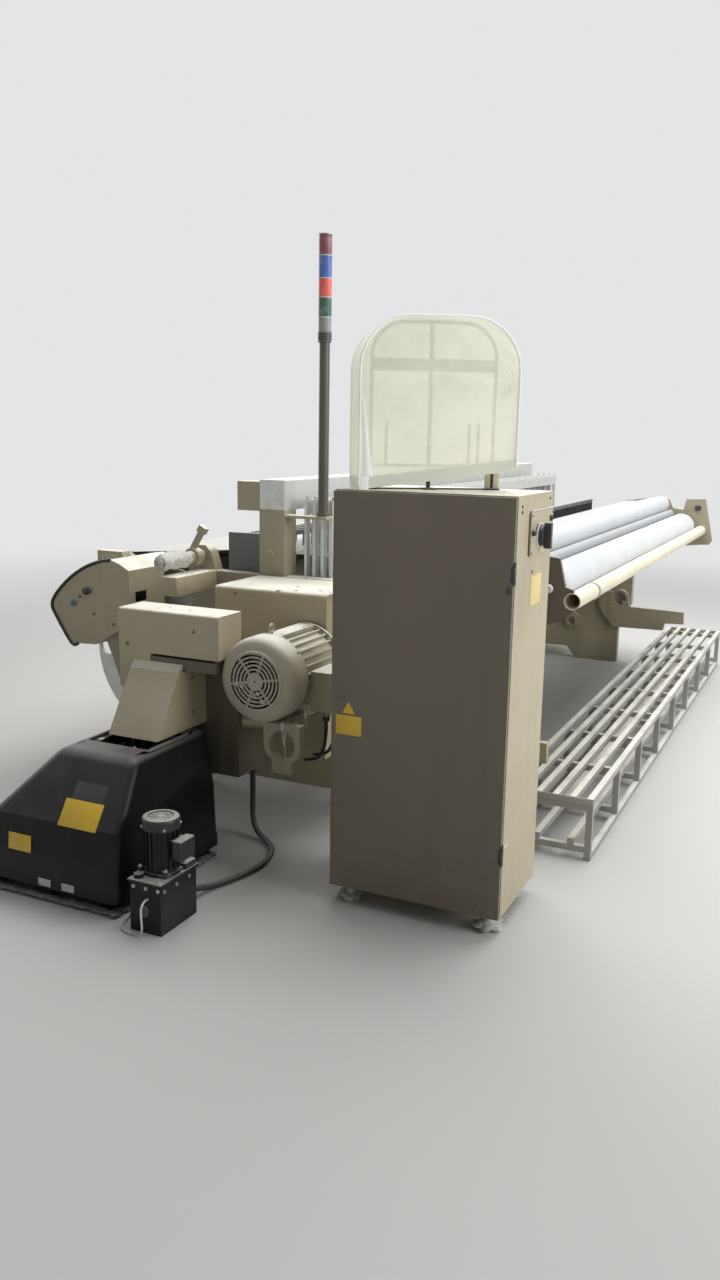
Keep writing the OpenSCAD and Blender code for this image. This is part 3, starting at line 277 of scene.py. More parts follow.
def group_threads():
    """Side by side threads that run across X, each of its own shade."""
    inputs = [("Pitch", "Float", 0.0016)]
    t, given, put = new_group("Threads", inputs, [("Height", "Float"), ("Shade", "Float")])
    count = t.maths("DIVIDE", t.parts(t.place())[0], given["Pitch"])
    wave = t.maths("ABSOLUTE", t.maths("SINE", t.maths("MULTIPLY", count, math.pi)))
    t.tree.links.new(wave, put["Height"])
    own = t.add("ShaderNodeTexWhiteNoise", {"W": t.maths("FLOOR", count)}, noise_dimensions="1D")
    t.tree.links.new(t.step(own, 0.0, 1.0, 0.80, 1.0), put["Shade"])
    return t.tree


GROUPS = {}
GROUP_MAKERS = {
    "dust": group_dust,
    "wear": group_wear,
    "film": group_film,
    "weave": group_weave,
    "threads": group_threads,
}


def use_group(t, name, **values):
    """Places a shared group in a material and gives its outputs."""
    if name not in GROUPS:
        GROUPS[name] = GROUP_MAKERS[name]()
    node = t.tree.nodes.new("ShaderNodeGroup")
    node.node_tree = GROUPS[name]
    for label, value in values.items():
        if isinstance(value, bpy.types.NodeSocket):
            t.tree.links.new(value, node.inputs[label])
        else:
            node.inputs[label].default_value = value
    return node.outputs


def new_finish(name, **plain):
    """A material with one Principled shader, whose plain numbers are set on its own sockets."""
    made = bpy.data.materials.new(name)
    made.use_nodes = True
    t = Tree(made.node_tree)
    shader = t.tree.nodes["Principled BSDF"]
    for key, value in plain.items():
        shader.inputs[key.replace("_", " ")].default_value = value
    return made, t, shader


def join(t, shader, colour=None, rough=None, height=None, strength=0.25, depth=0.001):
    """Links colour, roughness and bump to a shader."""
    if colour is not None:
        t.tree.links.new(colour, shader.inputs["Base Color"])
    if rough is not None:
        t.tree.links.new(rough, shader.inputs["Roughness"])
    if height is not None:
        bump = t.add("ShaderNodeBump", {"Strength": strength, "Distance": depth, "Height": height})
        t.tree.links.new(bump, shader.inputs["Normal"])


def painted(name, colour, dust=0.6, wear=0.5, dirt=0.35, rough=0.48, under=(0.06, 0.055, 0.05), peel=0.12):
    """Sprayed paint over metal, with dust, dirt and broken edges."""
    made, t, shader = new_finish(name, Coat_Weight=0.06, Coat_Roughness=0.35)
    film = use_group(t, "film", Colour=rgba(colour), Cloud=0.14, Dirt=dirt)
    dusty = use_group(t, "dust", Amount=dust)["Mask"]
    worn = use_group(t, "wear", Amount=wear)["Mask"]
    chipped = t.mix(worn, film["Colour"], rgba(under))
    shown = t.mix(dusty, chipped, rgba(colours().powder))
    gloss = t.step(t.maths("ADD", dusty, t.maths("MULTIPLY", film["Dirty"], 0.5)), 0.0, 1.0, rough, 0.95)
    raised = t.maths("ADD", film["Height"], t.maths("MULTIPLY", t.noise(t.place(), 240.0, 3.0), dusty))
    join(t, shader, shown, gloss, raised, peel, 0.0006)
    return made


def metallic(name, colour, dust=0.4, rough=0.38, metal=1.0, grime=0.4):
    """Bare or blackened metal with oil, grime and dust."""
    made, t, shader = new_finish(name)
    spots = t.step(t.noise(t.place(), 26.0, 6.0), 0.42, 0.70)
    dark = [c * 0.35 for c in colour]
    stained = t.mix(t.maths("MULTIPLY", spots, grime), rgba(colour), rgba(dark))
    dusty = use_group(t, "dust", Amount=dust, Scale=14.0, Walls=0.16)["Mask"]
    t.tree.links.new(t.maths("MULTIPLY", t.maths("SUBTRACT", 1.0, dusty), metal), shader.inputs["Metallic"])
    gloss = t.step(t.maths("MAXIMUM", dusty, t.maths("MULTIPLY", spots, 0.5)), 0.0, 1.0, rough, 0.9)
    join(t, shader, t.mix(dusty, stained, rgba(colours().dust)), gloss, t.noise(t.place(), 180.0, 4.0), 0.15)
    return made


def moulded(name, colour, dust=0.35, rough=0.42, grain=300.0, walls=0.08, shine=0.5):
    """Moulded plastic or rubber with a fine grain and dust."""
    made, t, shader = new_finish(name, Specular_IOR_Level=shine)
    dusty = use_group(t, "dust", Amount=dust, Scale=7.0, Walls=walls)["Mask"]
    smears = t.step(t.noise(t.stretch(t.place(), 3.0, 8.0, 3.0), 2.0, 5.0), 0.5, 0.8)
    hazy = t.maths("ADD", dusty, t.maths("MULTIPLY", smears, 0.02))
    join(
        t, shader, t.mix(hazy, rgba(colour), rgba(colours().dust)), t.step(hazy, 0.0, 0.7, rough, 0.9),
        t.noise(t.place(), grain, 2.0), 0.12, 0.0004,
    )
    return made


def woven(name, colour, pitch, sheer=1.0, stain=0.10, glow=0.0):
    """Plain woven cloth on the piece's own map, with soft stains. glow stands for light that comes through it."""
    made, t, shader = new_finish(name, Sheen_Weight=0.25, Sheen_Roughness=0.5)
    weave = use_group(t, "weave", Map=t.place("UV"), Pitch=pitch)["Height"]
    cloud = t.step(t.noise(t.place(), 5.0, 5.0), 0.40, 0.78)
    dull = [c * 0.62 for c in colour]
    soft = t.mix(t.maths("MULTIPLY", cloud, stain * 3.0), rgba(colour), rgba(dull))
    # Darker by up to 0.12 in the hollows of the weave: painted shade.
    shown = t.mix(t.maths("MULTIPLY", t.maths("SUBTRACT", 1.0, weave), 0.12), soft, rgba(dull))
    join(t, shader, shown, None, weave, 0.3, 0.0004)
    shader.inputs["Roughness"].default_value = 0.9
    if glow:
        t.tree.links.new(shown, shader.inputs["Emission Color"])
        shader.inputs["Emission Strength"].default_value = glow
    if sheer < 1.0:
        thick = t.step(t.noise(t.place(), 12.0, 4.0), 0.3, 0.7, sheer - 0.04, sheer + 0.04)
        t.tree.links.new(thick, shader.inputs["Alpha"])
    return made


def spun(name, colour, pitch=0.0016):
    """Yarn lying side by side."""
    made, t, shader = new_finish(name, Roughness=0.85, Sheen_Weight=0.2)
    rows = use_group(t, "threads", Pitch=pitch)
    dull = [c * 0.55 for c in colour]
    # Darker towards the gaps between the threads: painted shade; each thread's own tone varies at random.
    gap = t.step(rows["Height"], 0.0, 0.5)
    shown = t.mix(t.maths("MULTIPLY", gap, rows["Shade"]), rgba(dull), rgba(colour))
    join(t, shader, shown, None, rows["Height"], 0.5, 0.0006)
    return made


def fluffy(name, colour):
    """Loose fibre fluff."""
    made, t, shader = new_finish(name, Roughness=1.0, Sheen_Weight=0.25, Sheen_Roughness=0.8, Specular_IOR_Level=0.1)
    shade = t.step(t.noise(t.place(), 130.0, 5.0), 0.3, 0.7)
    dull = [c * 0.55 for c in colour]
    join(t, shader, t.mix(shade, rgba(dull), rgba(colour)), None, t.noise(t.place(), 420.0, 4.0), 0.45, 0.0012)
    return made


def lens(name, colour):
    """A ribbed signal lens."""
    made, t, shader = new_finish(name, IOR=1.49, Coat_Weight=0.25, Coat_Roughness=0.12)
    dusty = use_group(t, "dust", Amount=0.25, Scale=20.0, Walls=0.0)["Mask"]
    hazy = t.maths("ADD", dusty, t.step(t.noise(t.place(), 30.0, 4.0), 0.45, 0.8, 0.0, 0.18))
    join(t, shader, t.mix(hazy, rgba(colour), rgba(colours().dust)), t.step(hazy, 0.0, 0.6, 0.28, 0.8))
    return made


def plain_plate(name, colour):
    """A blank printed plate, faded and rubbed."""
    made, t, shader = new_finish(name)
    rubbed = t.step(t.noise(t.place(), 85.0, 5.0), 0.55, 0.75)
    pale = [min(1.0, c * 1.2 + 0.05) for c in colour]
    join(t, shader, t.mix(t.maths("MULTIPLY", rubbed, 0.5), rgba(colour), rgba(pale)))
    shader.inputs["Roughness"].default_value = 0.45
    return made


FINISHES = {}


def make_finish(name):
    c = colours()
    makers = {
        "beige_sheet": lambda: painted(name, c.sheet, dust=0.9, wear=0.6, dirt=0.38),
        # The door's paint, darkened partly as painted shade.
        "taupe_sheet": lambda: painted(name, c.door, dust=0.25, wear=0.8, dirt=0.2, under=(0.02, 0.018, 0.016)),
        "beige_frame": lambda: painted(name, c.casting, dust=0.8, wear=0.5, dirt=0.5, peel=0.35),
        # A shaded copy of the castings' paint for the near bracket: painted shade.
        "brown_bracket": lambda: painted(name, c.bracket, dust=0.25, wear=0.6, dirt=0.3),
        "cream_bar": lambda: painted(name, c.cream, dust=0.3, wear=0.4, dirt=0.25, rough=0.42),
        "motor_enamel": lambda: painted(name, c.enamel, dust=0.9, wear=0.4, dirt=0.5, peel=0.25),
        # The step's paint is set dark and its tops are nearly all dust: partly real dust, partly painted light on the
        # tops and painted shade on the sides.
        "step_paint": lambda: painted(name, c.step, dust=1.0, wear=0.95, dirt=0.55, under=(0.16, 0.15, 0.14)),
        "grey_cover": lambda: painted(name, (0.30, 0.29, 0.27), dust=0.7, wear=0.6, dirt=0.5),
        "pole_paint": lambda: painted(name, (0.076, 0.070, 0.052), dust=0.3, wear=0.5, dirt=0.3, rough=0.4),
        "black_cover": lambda: moulded(name, c.moulding, dust=0.22, rough=0.38, walls=0.02, shine=0.2),
        "blue_plastic": lambda: moulded(name, (0.06, 0.20, 0.30), dust=0.3, rough=0.4),
        "pump_grey": lambda: moulded(name, (0.030, 0.032, 0.033), dust=0.62, rough=0.36, walls=0.05, shine=0.35),
        "glass_dark": lambda: lens(name, (0.03, 0.035, 0.035)),
        "rubber": lambda: moulded(name, (0.014, 0.013, 0.012), dust=0.3, rough=0.55, grain=150.0),
        "plastic": lambda: moulded(name, (0.04, 0.04, 0.045), dust=0.3, rough=0.4),
        "white_cable": lambda: moulded(name, (0.62, 0.61, 0.57), dust=0.3, rough=0.5),
        "press_rubber": lambda: moulded(name, (0.31, 0.32, 0.335), dust=0.25, rough=0.55, grain=220.0),
        "dark_metal": lambda: metallic(name, c.dark, dust=0.55, rough=0.42, metal=0.5),
        "oily_black": lambda: moulded(name, (0.004, 0.004, 0.004), dust=0.0, rough=0.6, walls=0.0, shine=0.1),
        "pump_black": lambda: moulded(name, (0.009, 0.010, 0.0105), dust=0.45, rough=0.32, walls=0.05, shine=0.24),
        # A dark beige for the gear box: partly dirt, partly painted shade.
        "dirty_casting": lambda: painted(name, (0.115, 0.100, 0.072), dust=0.5, wear=0.4, dirt=1.0, peel=0.3),
        "screw_metal": lambda: metallic(name, (0.20, 0.19, 0.16), dust=0.3, metal=0.6),
        "floor_lint": lambda: fluffy(name, (0.27, 0.26, 0.235)),
        "stop_grey": lambda: painted(name, (0.17, 0.175, 0.185), dust=0.7, wear=0.6, dirt=0.5),
        "faded_yellow": lambda: plain_plate(name, (0.76, 0.60, 0.24)),
        "steel": lambda: metallic(name, c.steel, dust=0.4),
        "light_metal": lambda: metallic(name, (0.60, 0.60, 0.58), dust=0.45, rough=0.48, metal=0.5, grime=0.12),
        "reed_metal": lambda: metallic(name, (0.055, 0.055, 0.06), dust=0.45, rough=0.4, metal=0.7),
        "module_grey": lambda: moulded(name, (0.42, 0.43, 0.44), dust=0.2, rough=0.5),
        "cloth": lambda: woven(name, c.cloth, 0.0011),
        # The hood's cloths glow: painted light that comes through the cloth. The hem is the hood cloth darkened to
        # 0.80, with less glow: painted shade.
        "hood_cloth": lambda: woven(name, c.hood, 0.0014, sheer=0.56, stain=0.12, glow=0.16),
        "hem_cloth": lambda: woven(name, [v * 0.80 for v in c.hood], 0.0014, stain=0.14, glow=0.10),
        "welt_cloth": lambda: woven(name, (0.90, 0.91, 0.87), 0.0014, stain=0.05, glow=0.16),
        "warp": lambda: spun(name, c.yarn),
        "lint": lambda: fluffy(name, c.dust),
        "yellow_plate": lambda: plain_plate(name, c.yellow),
        "pale_plate": lambda: plain_plate(name, (0.60, 0.59, 0.56)),
        "dark_plate": lambda: plain_plate(name, (0.02, 0.02, 0.022)),
        "lens_white": lambda: lens(name, (0.27, 0.27, 0.26)),
        "lens_green": lambda: lens(name, (0.028, 0.11, 0.068)),
        "lens_orange": lambda: lens(name, (0.72, 0.11, 0.08)),
        "lens_blue": lambda: lens(name, (0.06, 0.13, 0.44)),
        "lens_red": lambda: lens(name, (0.20, 0.05, 0.065)),
    }
    return makers[name]()


def finish(name):
    if name not in FINISHES:
        FINISHES[name] = make_finish(name)
    return FINISHES[name]


# Shapes


def turned_to(axis):
    """The turn that takes the upward axis to another direction."""
    return UP.rotation_difference(Vector(axis)).to_matrix().to_4x4()


def rim_edges(faces, angle=50):
    """Edges of these faces where two of them meet at more than an angle."""
    sharp = math.radians(angle)
    return [e for e in {e for f in faces for e in f.edges} if len(e.link_faces) == 2 and e.calc_face_angle() > sharp]


def bevel(bm, edges, width, segments=2):
    bmesh.ops.bevel(
        bm, geom=edges, offset=width, segments=segments, profile=0.5, affect="EDGES", clamp_overlap=True, material=-1
    )


def add_box(bm, low, high, edge=0.0, segments=2, turn=None):
    """A box between two corners, with rounded edges. turn is a matrix about its middle."""
    low, high = Vector(low), Vector(high)
    place = Matrix.Translation((low + high) / 2) @ (turn or Matrix()) @ Matrix.Diagonal((*(high - low), 1))
    made = bmesh.ops.create_cube(bm, size=1, matrix=place)
    if edge:
        bevel(bm, list({e for v in made["verts"] for e in v.link_edges}), edge, segments)


def add_rod(bm, start, end, radius, sides=24, end_radius=None, edge=0.0):
    """A round rod or cone between two points."""
    start, end = Vector(start), Vector(end)
    way = end - start
    made = bmesh.ops.create_cone(
        bm, cap_ends=True, segments=sides, radius1=radius, radius2=radius if end_radius is None else end_radius,
        depth=way.length, matrix=Matrix.Translation((start + end) / 2) @ turned_to(way),
    )
    if edge:
        bevel(bm, rim_edges({f for v in made["verts"] for f in v.link_faces}), edge)


def add_mesh(bm, part, place=None):
    """Adds a finished small mesh to a larger one."""
    if place is not None:
        part.transform(place)
    mesh = bpy.data.meshes.new("part")
    part.to_mesh(mesh)
    part.free()
    bm.from_mesh(mesh)
    bpy.data.meshes.remove(mesh)


def add_turned(bm, profile, at, axis, sides=48, closed=False):
    """Spins a profile of (radius, height) points round an axis from a point. closed joins its last point to its first."""
    part = bmesh.new()
    points = [part.verts.new((r, 0, h)) for r, h in profile]
    pairs = list(zip(points, points[1:])) + ([(points[-1], points[0])] if closed else [])
    edges = [part.edges.new(pair) for pair in pairs]
    bmesh.ops.spin(
        part, geom=points + edges, cent=(0, 0, 0), axis=UP, dvec=(0, 0, 0), angle=math.tau, steps=sides, use_merge=True
    )
    bmesh.ops.remove_doubles(part, verts=part.verts, dist=1e-6)
    bmesh.ops.recalc_face_normals(part, faces=part.faces)
    add_mesh(bm, part, Matrix.Translation(at) @ turned_to(axis))


def add_swept(bm, path, radius, sides=10, ends=True):
    """A round tube along a path of points."""
    part = bmesh.new()
    points = [Vector(p) for p in path]
    last = len(points) - 1
    ways = [(points[min(i + 1, last)] - points[max(i - 1, 0)]).normalized() for i in range(last + 1)]
    turn = turned_to(ways[0])
    ring = bmesh.ops.create_circle(part, radius=radius, segments=sides, matrix=Matrix.Translation(points[0]) @ turn)
    edges = list({e for v in ring["verts"] for e in v.link_edges})
    if ends:
        bmesh.ops.contextual_create(part, geom=edges)
    for i in range(1, last + 1):
        made = bmesh.ops.extrude_edge_only(part, edges=edges)["geom"]
        verts = [g for g in made if isinstance(g, bmesh.types.BMVert)]
        edges = [g for g in made if isinstance(g, bmesh.types.BMEdge)]
        swing = ways[i - 1].rotation_difference(ways[i]).to_matrix().to_4x4()
        place = Matrix.Translation(points[i]) @ swing @ Matrix.Translation(-points[i - 1])
        bmesh.ops.transform(part, matrix=place, verts=verts)
    if ends:
        bmesh.ops.contextual_create(part, geom=edges)
    bmesh.ops.recalc_face_normals(part, faces=part.faces)
    add_mesh(bm, part)


def add_grid(bm, columns, rows, shape, mapped):
    """A grid whose points go where shape(u, v) says, u and v from 0 to 1. mapped(u, v) gives its cloth map in metres."""
    part = bmesh.new()
    grid = bmesh.ops.create_grid(part, x_segments=columns, y_segments=rows, size=0.5)
    layer = part.loops.layers.uv.new("UVMap")
    at = {v: (v.co.x + 0.5, v.co.y + 0.5) for v in grid["verts"]}
    for face in part.faces:
        for loop in face.loops:
            loop[layer].uv = mapped(*at[loop.vert])
    for vert, (u, v) in at.items():
        vert.co = shape(u, v)
    add_mesh(bm, part)


def add_bolt(bm, at, axis, size, kind="hex"):
    """A washer and a hexagon, socket or slotted screw head, standing on a face."""
    at, axis = Vector(at), Vector(axis).normalized()
    add_rod(bm, at - axis * 0.0005, at + axis * size * 0.18, size * 1.25, 20, edge=size * 0.05)
    if kind == "hex":
        add_rod(bm, at + axis * size * 0.15, at + axis * size * 0.85, size, 6, edge=size * 0.09)
        return
    profile = [(0, 0.3), (0.45, 0.3), (0.5, 0.78), (0.9, 0.72), (1.0, 0.55), (1.0, 0.1), (0, 0.1)]
    add_turned(bm, [(r * size, h * size) for r, h in profile], at, axis, 18)


def smooth_path(route, steps):
    """Points on a smooth curve through a route."""
    points = [Vector(p) for p in route]
    last = len(points) - 1
    path = []
    for i in range(last):
        p, q, r, s = (points[max(0, min(last, i + k))] for k in (-1, 0, 1, 2))
        for j in range(steps):
            t = j / steps
            bend = (2 * p - 5 * q + 4 * r - s) * t * t + (3 * q - p - 3 * r + s) * t**3
            path.append((2 * q + (r - p) * t + bend) / 2)
    return path + [points[last]]


def make_piece(name, bm, look, body="loom_frame", replaced=(), crease=38, tidy=False):
    """Turns a bmesh into a piece of the loom that rides on a body."""
    if tidy:
        bmesh.ops.remove_doubles(bm, verts=bm.verts, dist=1e-6)
        bmesh.ops.recalc_face_normals(bm, faces=bm.faces)
    mesh = bpy.data.meshes.new(name)
    bm.to_mesh(mesh)
    bm.free()
    mesh.shade_smooth()
    mesh.set_sharp_from_angle(angle=math.radians(crease))
    mesh.materials.append(finish(look))
    made = bpy.data.objects.new(name, mesh)
    bpy.context.scene.collection.objects.link(made)
    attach(made, body)
    if replaced:
        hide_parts(*replaced)
    return made


def body_of_node(node):
    return frame["nodes"][node].parent.name.removeprefix("body:")


def merged_copy(node):
    """A node's solid as one joined mesh with flat faces in one piece."""
    bm = bmesh.new()
    bm.from_mesh(frame["nodes"][node].data)
    bmesh.ops.remove_doubles(bm, verts=bm.verts, dist=2e-5)
    bmesh.ops.dissolve_limit(bm, angle_limit=math.radians(0.6), verts=bm.verts, edges=bm.edges)
    return bm


def add_cover(bm, low, high, crown):
    """A sheet cover whose top front edge is rounded and whose other edges are folded tight."""
    part = bmesh.new()
    add_box(part, low, high)
    front = [e for e in part.edges if all(v.co.x < low.x + MM and v.co.z > high.z - MM for v in e.verts)]
    bevel(part, front, crown, 7)
    bevel(part, rim_edges(part.faces), sizes().fold, 3)
    add_mesh(bm, part)


def soften(node, name, look, width, segments=2, angle=50):
    """A copy of a node's solid with rounded edges, which stands for the node."""
    bm = merged_copy(node)
    bevel(bm, rim_edges(bm.faces, angle), width, segments)
    made = make_piece(name, bm, look, body_of_node(node), [node])
    add_modifier(made, "WEIGHTED_NORMAL", keep_sharp=True)
    return made


def set_finish(node, look):
    """Gives a CAD node's material slot a finish."""
    made = frame["nodes"][node]
    if made.data.materials:
        for i in range(len(made.data.materials)):
            made.data.materials[i] = finish(look)
    else:
        made.data.materials.append(finish(look))


def add_modifier(made, kind, **settings):
    modifier = made.modifiers.new(kind.title(), kind)
    for name, value in settings.items():
        setattr(modifier, name, value)


class LoomOperator:
    """What the loom's operators share."""

    bl_options = {"REGISTER", "UNDO"}

    def execute(self, context):
        self.build()
        return {"FINISHED"}


# Camera and cords

CAMERA_AT = Vector((-5.10, -2.00, 1.58))
CAMERA_YAW = 25.4
CAMERA_PITCH = 11.39
CAMERA_ROLL = 0.94
IMAGE_HEIGHT = 1280
FOCAL_PIXELS = 1032
SENSOR = 36.0


class LOOM_OT_camera(LoomOperator, bpy.types.Operator):
    """Puts the camera where the photograph was taken"""

    bl_idname = "loom.camera"
    bl_label = "Camera"

    def build(self):
        yaw, pitch, roll = (math.radians(a) for a in (CAMERA_YAW, CAMERA_PITCH, CAMERA_ROLL))
        ahead = Vector((math.cos(yaw) * math.cos(pitch), math.sin(yaw) * math.cos(pitch), -math.sin(pitch)))
        level = ahead.cross(UP).normalized()
        upright = level.cross(ahead)
        right = math.cos(roll) * level + math.sin(roll) * upright
        top = math.cos(roll) * upright - math.sin(roll) * level
        turn = Matrix((right, top, -ahead)).transposed().to_4x4()
        lens_data = bpy.data.cameras.new("view")
        lens_data.sensor_width = SENSOR
        lens_data.lens = FOCAL_PIXELS / IMAGE_HEIGHT * SENSOR
        lens_data.clip_start = 0.05
        lens_data.clip_end = 200
        camera = bpy.data.objects.new("view", lens_data)
        camera.matrix_world = Matrix.Translation(CAMERA_AT) @ turn
        bpy.context.scene.collection.objects.link(camera)
        bpy.context.scene.camera = camera


PUMP_X = -1290
HOSE_ROUTE = [
    (-1070.4, -86, 40), (-1026.4, -87, 39), (-983.4, -89, 30), (-942, -95, 18), (-900, -107, 13), (-858, -121, 12),
    (-817, -135, 12), (-774, -146, 12), (-731, -153, 12), (-687, -156, 12), (-643, -152, 12), (-600, -143, 12),
    (-559, -127, 12), (-522, -104, 12), (-490, -74, 12), (-463, -39, 13), (-441, -2, 19), (-422, 30, 42),
    (-409, 46, 80), (-404, 50, 124), (-403, 50, 168), (-403, 50, 212), (-403, 50, 256), (-403, 50, 299.7),
]
CABLE_ROUTE = [
    (PUMP_X + 4.4, -100, 118), (PUMP_X - 14, -100, 117), (PUMP_X - 28, -100, 105), (PUMP_X - 33, -101, 86),
    (PUMP_X - 34, -102, 67), (PUMP_X - 32, -102, 48), (PUMP_X - 31, -101, 28), (PUMP_X - 28, -93, 11),
    (PUMP_X - 27, -75, 4), (PUMP_X - 26, -56, 4), (PUMP_X - 23, -37, 4), (PUMP_X - 17, -19, 4),
    (PUMP_X - 6, -3, 4), (PUMP_X + 10, 8, 4), (PUMP_X + 28, 15, 4), (PUMP_X + 47, 19, 6), (PUMP_X + 65, 23, 11),
    (PUMP_X + 82, 28, 17), (PUMP_X + 99, 35, 25), (PUMP_X + 113, 46, 31), (PUMP_X + 124, 62, 34),
    (PUMP_X + 130, 78.6, 34),
]


def make_cord(name, route, radius, look, node):
    """A curve along a route, in the place of the node's tube."""
    data = bpy.data.curves.new(name, "CURVE")
    data.dimensions = "3D"
    data.bevel_depth = radius
    data.bevel_resolution = 5
    data.use_fill_caps = True
    path = smooth_path([spot(*p) for p in route], 5)
    spline = data.splines.new("POLY")
    spline.points.add(len(path) - 1)
    for point, place in zip(spline.points, path):
        point.co = (*place, 1)
    data.materials.append(finish(look))
    made = bpy.data.objects.new(name, data)
    bpy.context.scene.collection.objects.link(made)
    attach(made, "loom_frame")
    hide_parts(node)
    return made


class LOOM_OT_cords(LoomOperator, bpy.types.Operator):
    """Makes the pump unit's hose and cable"""

    bl_idname = "loom.cords"
    bl_label = "Hose and cable"

    def build(self):
        hose = make_cord("pump_hose_run", HOSE_ROUTE, 0.011, "rubber", "pump_hose")
        cable = make_cord("pump_cable_run", CABLE_ROUTE, 0.0035, "white_cable", "pump_cable")


# Casings and castings

# Node: name of the piece, finish, edge radius in millimetres, rounding steps
SOFT_EDGED = {
    "cabinet_body": ("cabinet_shell", "beige_sheet", 2.0, 2),
    "cabinet_door": ("door_skin", "taupe_sheet", 2.5, 3),
    "switch_plate": ("switch_cover_plate", "beige_sheet", 1.5, 2),
    "linkage_duct": ("sloping_duct", "beige_sheet", 2.5, 3),
    # The gear box's dark finish is partly dirt, partly painted shade.
    "gear_case": ("gear_box", "dirty_casting", 4.0, 2),
    "terminal_box": ("motor_box", "beige_frame", 3.0, 2),
    "motor_bracket": ("cast_bracket", "beige_frame", 4.0, 2),
    "near_column": ("near_post", "beige_frame", 5.0, 3),
    "far_column": ("far_post", "beige_frame", 5.0, 3),
    "top_beam": ("top_girder", "light_metal", 4.0, 3),
    "let_off_cover": ("let_off_hood", "beige_sheet", 2.5, 2),
    "far_end_cover": ("far_hood", "beige_sheet", 2.5, 2),
    # The near cheek's brown finish is painted shade; the far cheek keeps the castings' beige.
    "near_roll_bracket": ("near_cheek", "brown_bracket", 3.0, 2),
    "far_roll_bracket": ("far_cheek", "beige_frame", 3.0, 2),
    "near_side_frame": ("near_casting", "beige_frame", 5.0, 2),
    "far_side_frame": ("far_casting", "beige_frame", 5.0, 2),
    "breast_beam": ("breast_bar", "beige_frame", 2.0, 2),
    "weaver_step": ("step_tubes", "step_paint", 2.5, 2),
    "stop_lever": ("easing_lever", "beige_frame", 2.0, 2),
    "cabinet_modules": ("drive_modules", "module_grey", 2.0, 2),
}

# Node: name of the piece, radius of its top front edge, and its boxes in millimetres, the main one first
SHEET_COVERS = {
    "gear_cover": ("gear_hood", 0.012, [
        ((-750, -24, 775), (-597, 414, 935)), ((-750, 347, 640), (-652, 414, 778)),
        ((-750, 272, 722), (-602, 348, 778)),
    ]),
    "drive_cover": ("belt_hood", 0.015, [((-350, -245, 335), (-2, 255, 978))]),
}

# CAD nodes that stay as they are, and their finishes
NODE_FINISH = {
    "lower_cross_beam": "beige_frame", "rear_cross_beam": "beige_frame", "cam_unit": "oily_black",
    "motor_body": "motor_enamel", "motor_rotor": "oily_black", "drive_belt": "rubber", "main_shaft": "steel",
    "pump_tank": "pump_black", "pump_motor": "pump_black", "cabinet_feet": "light_metal",
    # The hood frame is dark so that its rods show through the thin hood as painted shade.
    "main_switch": "plastic", "hood_frame": "dark_metal", "signal_pole": "pole_paint",
    "take_up_roller": "cloth", "press_roller": "press_rubber", "cloth_core": "steel", "front_bar": "cream_bar",
    "sley": "light_metal", "reed": "reed_metal", "heald_frame_1": "light_metal", "heald_frame_2": "light_metal",
    "heald_frame_3": "light_metal", "heald_frame_4": "light_metal", "warp_beam": "light_metal",
    "warp_yarn": "warp", "backrest_roller": "steel", "drop_wires": "stop_grey", "weft_feeders": "plastic",
    "fan_cowl": "motor_enamel", "cam_cover": "black_cover", "dust_hood": "hood_cloth",
    "signal_lenses": "lens_red", "cloth_roll": "cloth", "cloth_web": "cloth", "warp_sheet": "warp",
    "warp_shed": "warp",
}


class LOOM_OT_casings(LoomOperator, bpy.types.Operator):
    """Rounds the edges of the sheet covers, castings and tubes, and paints every node"""

    bl_idname = "loom.casings"
    bl_label = "Casings and castings"

    def build(self):
        for node, look in NODE_FINISH.items():
            set_finish(node, look)
        for node, (name, look, width, segments) in SOFT_EDGED.items():
            set_finish(node, look)
            soften(node, name, look, width * MM, segments)
        for node, (name, crown, blocks) in SHEET_COVERS.items():
            set_finish(node, "beige_sheet")
            bm = bmesh.new()
            add_cover(bm, *(spot(*p) for p in blocks[0]), crown)
            for low, high in blocks[1:]:
                add_box(bm, spot(*low), spot(*high), sizes().fold)
            made = make_piece(name, bm, "beige_sheet", replaced=[node])
            add_modifier(made, "WEIGHTED_NORMAL", keep_sharp=True)


# Hood

HOOD_PLACE = Matrix.Translation(spot(-610, -754, 1402.3)) @ Matrix.Rotation(math.radians(33), 4, "Z")
HOOD_HALF = 0.251
HOOD_DEEP = 0.1075
HOOD_TOP = 0.530
HOOD_ROUND = 0.160
HOOD_LOW = 0.004
HOOD_RISE = 0.062
HOOD_ROWS = 34
HEM = 0.036


def hood_crown():
    """The hood's top line from its -Y side to its +Y side, as (y, z)."""
    mid = HOOD_HALF - HOOD_ROUND
    base = HOOD_TOP - HOOD_ROUND
    turns = [math.radians(7.5 * i) for i in range(13)]
    arc = [(mid + HOOD_ROUND * math.cos(a), base + HOOD_ROUND * math.sin(a)) for a in turns]
    flat = [(-mid + 2 * mid * i / 12, HOOD_TOP) for i in range(1, 12)]
    return [(-y, z) for y, z in arc] + flat + arc[::-1]


CROWN = hood_crown()
HOOD_COLUMNS = len(CROWN) - 1


def hood_bottom(y):
    return HOOD_LOW + HOOD_RISE * (HOOD_HALF - y) / (2 * HOOD_HALF)


def hood_flat(u, v):
    """The place of a panel's point in the panel's plane, as (y, z)."""
    y, top = CROWN[round(u * HOOD_COLUMNS)]
    low = hood_bottom(y)
    return y, low + (top - low) * v


def ease(value):
    value = max(0.0, min(1.0, value))
    return value * value * (3 - 2 * value)


